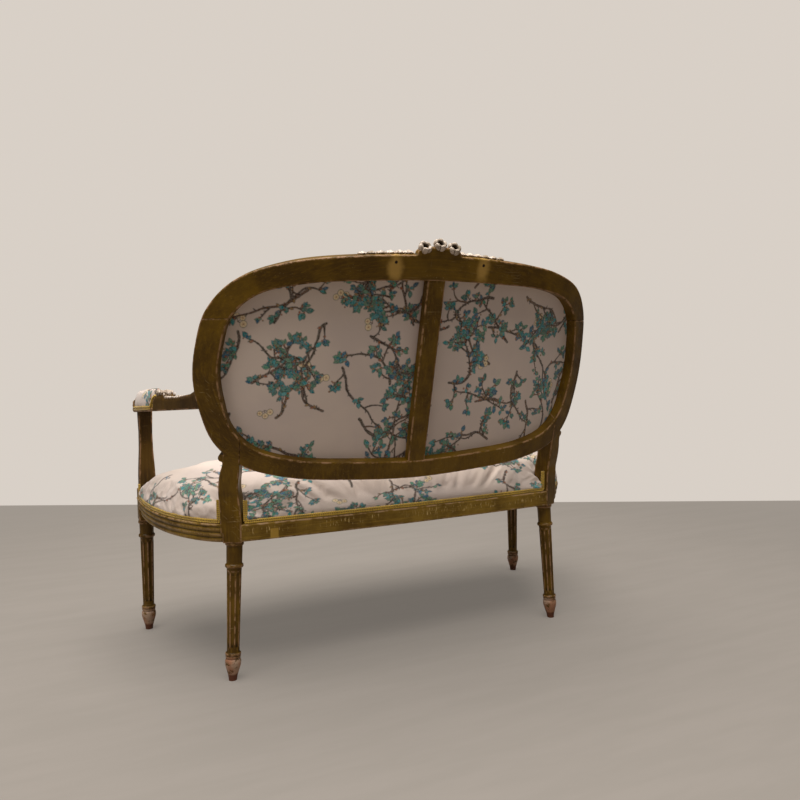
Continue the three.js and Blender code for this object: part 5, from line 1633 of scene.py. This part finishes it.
def back_held(points):
    return back_depth(points) < FRONT_DEPTH + 5


def back_cap(points):
    """How far the back may swell: little at its edge, freely on its crown."""
    return lerp(1.0, 2 * BACK_SWELL, smooth_step(FRONT_DEPTH, FRONT_DEPTH + 35, back_depth(points)))


front_form = fused(puffed(back_pad(), 8, 2.5, back_cap, back_held), 2.6, 3)
back_front = finish_piece(
    "back_cushion", front_form, cloth_look, ["back_cover", "back_stuffing"], SOFT_ANGLE,
)
lay_print(back_front, back_print, (front_form[0][:, [0, 2]] - (0, OVAL_MID_Z)) * (-1, 1))

rear_side = rear_plan(np.linspace(STILE_MID_X, -STILE_MID_X, 90))
left_side = side_plan(np.linspace(1, 0, 80)) * (-1, 1)
front_side = front_plan(np.linspace(-1, 1, 110) * (FRONT_BLOCK_X + FRONT_BLOCK_WIDTH / 2 - 4))
right_side = side_plan(np.linspace(0, 1, 80))
seat_outline = np.vstack([rear_side, left_side, front_side, right_side])
TRIM_HEIGHT = 4 * TRIM_RADIUS
COVER_INSET = 2 * TRIM_RADIUS + TRIM_OFFSET + 4 * FIT
SEAT_SHOULDER_Z = RAIL_TOP_Z + TRIM_HEIGHT


def seat_solid():
    """The seat's cover and stuffing: a skirt between the cords, and a dome over it."""
    centre = seat_outline.mean(axis=0)
    skirt = inset(seat_outline, COVER_INSET)
    edge = inset(seat_outline, CLOTH_THICKNESS)
    rings = [at_height(skirt, z) for z in (RAIL_TOP_Z - 3, SEAT_SHOULDER_Z - 1)]
    for share in 1 - np.linspace(0, 1, 60)[:-1] ** 2:
        plan_ring = lerp(centre, edge, share)
        distance, _ = outline_distance(plan_ring, edge[::2])
        crown = (SEAT_CROWN - SEAT_SWELL) * dome_share(distance, SEAT_REACH)
        rings.append(at_height(plan_ring, SEAT_SHOULDER_Z + CLOTH_THICKNESS + crown))
    return loft(rings)


# Each post in the seat's corners: its middle, half its width and its turn
POSTS = []
for side in (1, -1):
    POSTS.append((block_centre * (side, 1), STILE_WIDTH / 2, REAR_BLOCK_TURN * side))
    POSTS.append((np.array([FRONT_BLOCK_X * side, FRONT_BLOCK_Y]), FRONT_BLOCK_WIDTH / 2, 0.0))


def post_axes(points, centre, turn):
    """Plan points in a post's own directions."""
    c, s = math.cos(turn), math.sin(turn)
    return (points - centre) @ np.array([[c, s], [-s, c]])


POST_CUT_HEIGHT = 200
POST_CUT_DROP = 20


def post_cuts(solid, clearance):
    """Hollows in the seat round the four posts."""
    seat = make_object("seat", make_mesh("seat", solid))
    for centre, half, turn in POSTS:
        matrix = Matrix.Rotation(-turn, 4, "Z")
        matrix.translation = (*centre, RAIL_TOP_Z + POST_CUT_HEIGHT / 2 - POST_CUT_DROP)
        size = (2 * (half + clearance), 2 * (half + clearance), POST_CUT_HEIGHT)
        post = make_object("post", make_mesh("post", rounded_box(size, clearance, matrix)))
        hollow = seat.modifiers.new("hollow", "BOOLEAN")
        hollow.operation = "DIFFERENCE"
        hollow.solver = "MANIFOLD"
        hollow.object = post
        mesh = shaped_mesh(seat)
        seat.modifiers.clear()
        seat.data = mesh
        bpy.data.objects.remove(post)
    result = solid_of(seat.data)
    bpy.data.objects.remove(seat)
    return result


# Folds round the posts: how many go round each, how far they and the dip there spread, and the dip's share
FOLD_COUNT = 9
FOLD_START = 7
DIP_SHARE = 0.34
DIP_REACH = 24


def pulled_down(solid):
    """The seat's cloth drawn down round the posts, in folds that spread from them."""
    points, faces = solid
    normals = normals_of(solid)
    lifted = np.maximum(points[:, 2] - SEAT_SHOULDER_Z, 0)
    for number, (centre, half, turn) in enumerate(POSTS):
        local = post_axes(points[:, :2], centre, turn)
        distance = np.linalg.norm(np.maximum(np.abs(local) - half, 0), axis=1)
        angle = np.arctan2(local[:, 1], local[:, 0])
        points[:, 2] -= lifted * DIP_SHARE * np.exp(-distance / DIP_REACH)
        wave = np.cos(FOLD_COUNT * angle + 1.3 * number + 0.8 * np.sin(2 * angle))
        ridge = np.sign(wave) * np.abs(wave) ** 1.4
        height = FOLD_HEIGHT * np.exp(-distance / FOLD_REACH) * (1 - np.exp(-distance / FOLD_START))
        points += normals * (ridge * height * smooth_step(0, 14, lifted))[:, None]
    return points, faces


def open_below(solid, low):
    """A solid without the flat underside that lies below a height."""
    bm = bmesh.new()
    bm.from_mesh(make_mesh("open", solid))
    under = [f for f in bm.faces if f.normal.z < -0.8 and f.calc_center_median().z < low * MM]
    bmesh.ops.delete(bm, geom=under, context="FACES")
    loose = [v for v in bm.verts if not v.link_faces]
    bmesh.ops.delete(bm, geom=loose, context="VERTS")
    mesh = bpy.data.meshes.new("open")
    bm.to_mesh(mesh)
    bm.free()
    return solid_of(mesh)


def seat_flat(points):
    """Where each point of the seat's cloth lay on the flat sheet: drawn down sides count outwards."""
    plan_points = points[:, :2]
    distance, nearest = outline_distance(plan_points, seat_outline[::4])
    out = nearest - plan_points
    out /= np.maximum(np.linalg.norm(out, axis=1, keepdims=True), TINY)
    top = SEAT_SHOULDER_Z + SEAT_CROWN
    near = smooth_step(SEAT_REACH, 0, distance)
    return plan_points + out * ((top - points[:, 2]) * near)[:, None] - (0, SIDE_CENTRE_Y / 2)


def seat_held(points):
    return points[:, 2] < SEAT_SHOULDER_Z


def seat_cap(points):
    """How far the seat may swell: little at its shoulder, freely on its dome."""
    return lerp(1.5, 2 * SEAT_SWELL, smooth_step(0, 45, points[:, 2] - SEAT_SHOULDER_Z))


seat_form = post_cuts(fused(seat_solid(), 3), POST_CLEARANCE)
seat_form = puffed(seat_form, 7, 3.0, seat_cap, seat_held)
seat_form = open_below(pulled_down(fused(seat_form, 2.5, 3)), RAIL_TOP_Z)
seat_cloth = finish_piece(
    "seat_cushion", seat_form, cloth_look, ["seat_cover", "seat_stuffing"], SOFT_ANGLE,
)
seat_print = new_print(*SEAT_PRINT)
lay_print(seat_cloth, seat_print, seat_flat(points_of(seat_cloth)))

PAD_SIDES = 160
PAD_CAP = 3.5


def squared(values):
    """Sines or cosines bent so that the circle they make becomes a rounded square."""
    return np.sign(values) * np.abs(values) ** PAD_SQUARE_SHARE


def pad_plan(grow):
    """The pad's edge, grown by a length: distances along the arm and across it."""
    middle = (PAD_START_SHARE + PAD_END_SHARE) / 2
    reach = (PAD_END_SHARE - PAD_START_SHARE) / 2 * arm_length + grow
    angles = round_angles(PAD_SIDES)
    along = middle * arm_length + reach * squared(np.cos(angles))
    return np.column_stack([along, (PAD_HALF_WIDTH + grow) * squared(np.sin(angles))])


def pad_edge_rise():
    """Height of the pad's lower edge over the arm's underside: low along the sides, up over the ends."""
    angles = round_angles(PAD_SIDES)
    rear = smooth_step(0.8, 0.985, -np.cos(angles))
    front = smooth_step(0.86, 0.985, np.cos(angles))
    return PAD_SIDE_RISE + PAD_REAR_RISE * rear + PAD_FRONT_RISE * front


def arm_pad():
    edge = pad_plan(0)
    low = pad_edge_rise()
    top = ARM_THICKNESS * PAD_RISE_SHARE + PAD_CROWN
    centre = edge.mean(axis=0)
    rings = [on_arm(edge[:, 0] / arm_length, edge[:, 1] * 0.94, low - 1)]
    for share in 1 - np.linspace(0, 1, 50)[:-1] ** 1.6:
        plan_ring = lerp(centre, edge, share)
        distance, _ = outline_distance(plan_ring, edge)
        bulge = 1 + 0.05 * np.sin(np.pi * np.clip(distance / PAD_REACH, 0, 1))
        rise = lerp(low + 1, top, dome_share(distance, PAD_REACH))
        rings.append(on_arm(plan_ring[:, 0] / arm_length, plan_ring[:, 1] * bulge, rise))
    return loft(rings)


def pad_held(points):
    return points[:, 2] < ARM_FRONT[2] + PAD_SIDE_RISE + 6


def pad_cap(points):
    return np.full(len(points), PAD_CAP)


# Where the pad's cloth lies on the print's sheet, and how its width and its fall on both sides stretch there
PAD_SHEET_Y = 260
PAD_SHEET_X = 570
PAD_MID_X = 575
PAD_WIDTH_STRETCH = 1.3
PAD_FALL_STRETCH = 0.6


def pad_flat(points):
    """The pad's cloth laid flat: along the arm, and over it from side to side."""
    fall = ARM_FRONT[2] + PAD_CROWN - points[:, 2]
    across = (points[:, 0] - PAD_SHEET_X) * PAD_WIDTH_STRETCH
    across += PAD_FALL_STRETCH * np.sign(points[:, 0] - PAD_MID_X) * fall
    return np.column_stack([points[:, 1] + PAD_SHEET_Y, across])


pad_form = fused(puffed(arm_pad(), 4, 3.0, pad_cap, pad_held), 1.7, 3)
pads = finish_pair(
    "arm_cushion", pad_form, cloth_look, ["arm_pad", "arm_pad_cover"], SOFT_ANGLE,
)
for pad in pads:
    lay_print(pad, new_print(*PAD_PRINT), pad_flat(pad_form[0]))


# Double cords

def cord_pair(path, outward, closed=False):
    """Two round cords side by side along a path, as a solid and its run layer."""
    path, outward = np.asarray(path, float), np.asarray(outward, float)
    if closed:
        along = unit(np.roll(path, -1, axis=0) - np.roll(path, 1, axis=0))
    else:
        along = unit(np.gradient(path, axis=0))
    outward = unit(outward - along * (outward * along).sum(axis=1, keepdims=True))
    side = np.cross(along, outward)
    steps = np.linalg.norm(np.diff(path, axis=0), axis=1)
    run = np.concatenate([[0], np.cumsum(steps)]) * MM
    solids, layers = [], []
    for offset in (-1, 1):
        centre = path + side * offset * CORD_RADIUS * CORD_SPREAD
        solids.append(tube(centre, CORD_RADIUS, outward, side, CORD_SIDES, closed))
        layer = np.zeros((len(path), CORD_SIDES, 3))
        layer[..., 0] = run[:, None]
        layer[..., 1] = offset * round_angles(CORD_SIDES)[None, :]
        layers.append(layer.reshape(-1, 3))
    return joined(*solids), np.vstack(layers)


def finish_cord(name, made, nodes):
    solid, layer = made
    obj = finish_piece(name, solid, cord_look, nodes, SOFT_ANGLE)
    run = obj.data.attributes.new("run", "FLOAT_VECTOR", "POINT")
    run.data.foreach_set("vector", layer.ravel())
    return obj


def finish_cord_pair(name, made, node):
    """The right-hand cord and its mirror image; node is the name without its side."""
    solid, layer = made
    finish_cord(f"{name}_right", made, [f"{node}_right"])
    finish_cord(f"{name}_left", (mirrored(solid), layer), [f"{node}_left"])


TRIM_Z = RAIL_TOP_Z + FIT + 1.9 * CORD_RADIUS
TRIM_INSET = TRIM_OFFSET + TRIM_RADIUS
TRIM_BEND = 10
TRIM_STEP = 2.5


def rail_cord(plan_line, rises=(TRIM_RISE, TRIM_RISE)):
    """The cord on a rail, whose ends turn up beside the posts."""
    out = outwards(plan_line)
    line = plan_line - out * TRIM_INSET
    path = at_height(line, TRIM_Z)
    first, last = path[0] + (0, 0, rises[0]), path[-1] + (0, 0, rises[1])
    start = filleted([first, *path[:2]], TRIM_BEND, 6, False)[:-1]
    end = filleted([*path[-2:], last], TRIM_BEND, 6, False)[1:]
    path = resampled(np.vstack([start, path[6:-6], end]), TRIM_STEP)
    nearest = np.array([np.argmin(np.linalg.norm(line - p[:2], axis=1)) for p in path])
    return cord_pair(path, at_height(out[nearest], 0))


POST_GAP = TRIM_HEIGHT / 2 + 2 * FIT
rear_end = STILE_INNER_X - POST_GAP - (TRIM_INSET + TRIM_HEIGHT) * math.tan(REAR_BLOCK_TURN)
front_end = FRONT_BLOCK_X - FRONT_BLOCK_WIDTH / 2 - POST_GAP
side_start = (FRONT_BLOCK_Y + FRONT_BLOCK_WIDTH / 2 + POST_GAP - SIDE_CENTRE_Y) / SIDE_REACH_Y
SIDE_TRIM_REAR_SHARE = 0.987
rear_line = rear_plan(np.linspace(rear_end, -rear_end, 200))
front_line = front_plan(np.linspace(-front_end, front_end, 200))
side_line = side_plan(np.linspace(side_start, SIDE_TRIM_REAR_SHARE, 160))
finish_cord("rear_cord", rail_cord(rear_line), ["seat_trim_rear"])
finish_cord("front_cord", rail_cord(front_line, (FRONT_TRIM_RISE, FRONT_TRIM_RISE)), ["seat_trim_front"])
finish_cord_pair("side_cord", rail_cord(side_line, (FRONT_TRIM_RISE, TRIM_RISE)), "seat_trim")

rim_x, rim_z = lerp(opening_line, oval_line, 0.12).T
rim_depth = FRONT_DEPTH + FIT + CLOTH_THICKNESS + TRIM_RADIUS
rim_cord = cord_pair(on_back(rim_x, rim_z, rim_depth), -back_normal(rim_x, rim_z), True)
finish_cord("back_cord", rim_cord, ["back_trim"])

pad_along, pad_across = pad_plan(TRIM_RADIUS).T
pad_path = on_arm(pad_along / arm_length, pad_across, pad_edge_rise() + TRIM_RADIUS)
pad_axis = on_arm(pad_along.mean() / arm_length, 0, 0)
finish_cord_pair("pad_cord", cord_pair(pad_path, (pad_path - pad_axis) * (1, 0.25, 0), True), "arm_pad_trim")


# Dust cover, tacked under the rails and hanging a little

DUST_RAIL_GAP = 3
DUST_SAG = 6


def dust_edge():
    """The largest outline, seen from the seat's middle, that stays clear of the rails and the posts."""
    centre = seat_outline.mean(axis=0)
    rays = seat_outline[::3] - centre
    low, high = np.zeros(len(rays)), np.ones(len(rays))
    for _ in range(20):
        middle = (low + high) / 2
        spots = centre + rays * middle[:, None]
        room = outline_distance(spots, seat_outline)[0] - RAIL_THICKNESS - DUST_RAIL_GAP
        for post, half, turn in POSTS:
            outside = np.maximum(np.abs(post_axes(spots, post, turn)) - half, 0)
            room = np.minimum(room, np.linalg.norm(outside, axis=1) - DUST_RAIL_GAP)
        low, high = np.where(room > 0, middle, low), np.where(room > 0, high, middle)
    return centre + rays * low[:, None]


dust_outline = dust_edge()
dust_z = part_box("seat_dust_cover")[0].z / MM
dust_rings = []
for share in np.linspace(1, 0.02, 50):
    dust_line = lerp(dust_outline.mean(axis=0), dust_outline, share)
    dust_rings.append(at_height(dust_line, dust_z - DUST_SAG * (1 - share**2)))
dust_points = np.vstack(dust_rings)
dust_faces = ring_faces(len(dust_rings), len(dust_outline))
dust_faces.append(list(range(len(dust_points) - len(dust_outline), len(dust_points))))
dust = finish_piece("dust_cover", (dust_points, dust_faces), dust_look, ["seat_dust_cover"])


# Hidden pieces keep their solids and get a finish

def finish_nodes(prefix, shader):
    for name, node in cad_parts.items():
        if name.startswith(prefix):
            node.data.materials.clear()
            node.data.materials.append(shader.material)


finish_nodes("corner_block", bare_look)
finish_nodes("seat_web", web_look)
finish_nodes("back_web", web_look)
finish_nodes("seat_deck_cloth", web_look)


# Stage, light and camera

FLOOR_DARK = (0.31, 0.275, 0.24)
FLOOR_LIGHT = (0.335, 0.295, 0.26)
FLOOR_SEEN = (0.365, 0.325, 0.285)
ROOM_LIGHT = (1.0, 0.97, 0.94, 1)
ROOM_STRENGTH = 0.14
WALL_SEEN = (0.69, 0.63, 0.57, 1)
LAMP_COLOUR = (1, 0.98, 0.95)

# Metres from the settee's middle over which the floor's shading gives way to its plain colour
FLOOR_FADE = (1.3, 3.2)
FLOOR_NEAR_SHARE = 0.42


def floor_material():
    """Boards near the settee that fade, as the camera sees them, to one plain colour."""
    s = Shader("floor")
    boards = s.noise(3, 4, 0.6, s.stretched((1, 6, 1)))
    s.set(Base_Color=s.mix(s.between(boards, 0.3, 0.7), FLOOR_DARK, FLOOR_LIGHT))
    s.set(Roughness=0.9, Specular_IOR_Level=0.1)
    plain = s.add("ShaderNodeEmission", {"Color": FLOOR_SEEN})
    seen = s.add("ShaderNodeLightPath").outputs["Is Camera Ray"]
    distance = s.add("ShaderNodeVectorMath", {0: s.place}, operation="LENGTH").outputs["Value"]
    fade = s.math("MULTIPLY", s.between(distance, *FLOOR_FADE, FLOOR_NEAR_SHARE), seen)
    shaded = s.surface.outputs["BSDF"]
    blend = s.add("ShaderNodeMixShader", {0: fade, 1: shaded, 2: plain.outputs["Emission"]})
    s.feed(s.tree.nodes["Material Output"].inputs["Surface"], blend.outputs["Shader"])
    return s


def lit_stage():
    """The floor, which ends where the wall would stand, and the room's light and colour."""
    back = ahead * WALL_DISTANCE
    foot = Vector((camera_spot.x + back.x, camera_spot.y + back.y, 0))
    wide, near = across * FLOOR_REACH, -ahead * FLOOR_REACH
    floor = make_object("floor", bpy.data.meshes.new("floor"))
    corners = [foot - wide, foot + wide, foot + wide + near, foot - wide + near]
    floor.data.from_pydata(corners, [], [(0, 1, 2, 3)])
    floor.data.materials.append(floor_material().material)
    world = bpy.data.worlds.new("studio")
    bpy.context.scene.world = world
    world.use_nodes = True
    tree = world.node_tree
    lit = tree.nodes["Background"]
    lit.inputs["Color"].default_value = ROOM_LIGHT
    lit.inputs["Strength"].default_value = ROOM_STRENGTH
    shown = tree.nodes.new("ShaderNodeBackground")
    shown.inputs["Color"].default_value = WALL_SEEN
    path = tree.nodes.new("ShaderNodeLightPath")
    blend = tree.nodes.new("ShaderNodeMixShader")
    tree.links.new(path.outputs["Is Camera Ray"], blend.inputs["Fac"])
    tree.links.new(lit.outputs["Background"], blend.inputs[1])
    tree.links.new(shown.outputs["Background"], blend.inputs[2])
    tree.links.new(blend.outputs["Shader"], tree.nodes["World Output"].inputs["Surface"])


def area_light(name, place, target, size, power):
    data = bpy.data.lights.new(name, "AREA")
    data.shape = "DISK"
    data.size = size
    data.energy = power
    data.color = LAMP_COLOUR
    lamp = bpy.data.objects.new(name, data)
    bpy.context.scene.collection.objects.link(lamp)
    lamp.location = place
    lamp.rotation_euler = (Vector(target) - Vector(place)).to_track_quat("-Z", "Y").to_euler()


# The camera, with its place in millimetres and its angles in radians
FOCAL_PIXELS = 739.324
IMAGE_PIXELS = 800
CAMERA_YAW = -0.431549
CAMERA_PITCH = 0.0840865
CAMERA_ROLL = -0.00626
CAMERA_PLACE = (784.051, 1683.715, 787.512)

WALL_DISTANCE = 3.48
FLOOR_REACH = 12

camera_spot = (Vector(CAMERA_PLACE) + Vector((0, FRAME_SHIFT, 0))) * MM
ahead = Vector((math.sin(CAMERA_YAW), -math.cos(CAMERA_YAW), 0))
across = Vector((-math.cos(CAMERA_YAW), -math.sin(CAMERA_YAW), 0))
upward = Vector((0, 0, 1))
look = ahead * math.cos(CAMERA_PITCH) - upward * math.sin(CAMERA_PITCH)
top = ahead * math.sin(CAMERA_PITCH) + upward * math.cos(CAMERA_PITCH)
right = across * math.cos(CAMERA_ROLL) + top * math.sin(CAMERA_ROLL)
top = top * math.cos(CAMERA_ROLL) - across * math.sin(CAMERA_ROLL)
camera_data = bpy.data.cameras.new("camera")
camera_data.lens = camera_data.sensor_width * FOCAL_PIXELS / IMAGE_PIXELS
camera = bpy.data.objects.new("camera", camera_data)
bpy.context.scene.collection.objects.link(camera)
turn = Matrix((right, top, -look)).transposed().to_4x4()
turn.translation = camera_spot
camera.matrix_world = turn
bpy.context.scene.camera = camera
bpy.context.scene.view_settings.view_transform = "Standard"

lit_stage()
area_light("ceiling", (0.4, 0.3, 3.6), (0.3, 0.2, 0), 3.6, 212)
area_light("window", (3.4, 1.2, 2.4), (0, 0, 0.6), 1.6, 12)

bpy.context.view_layer.update()
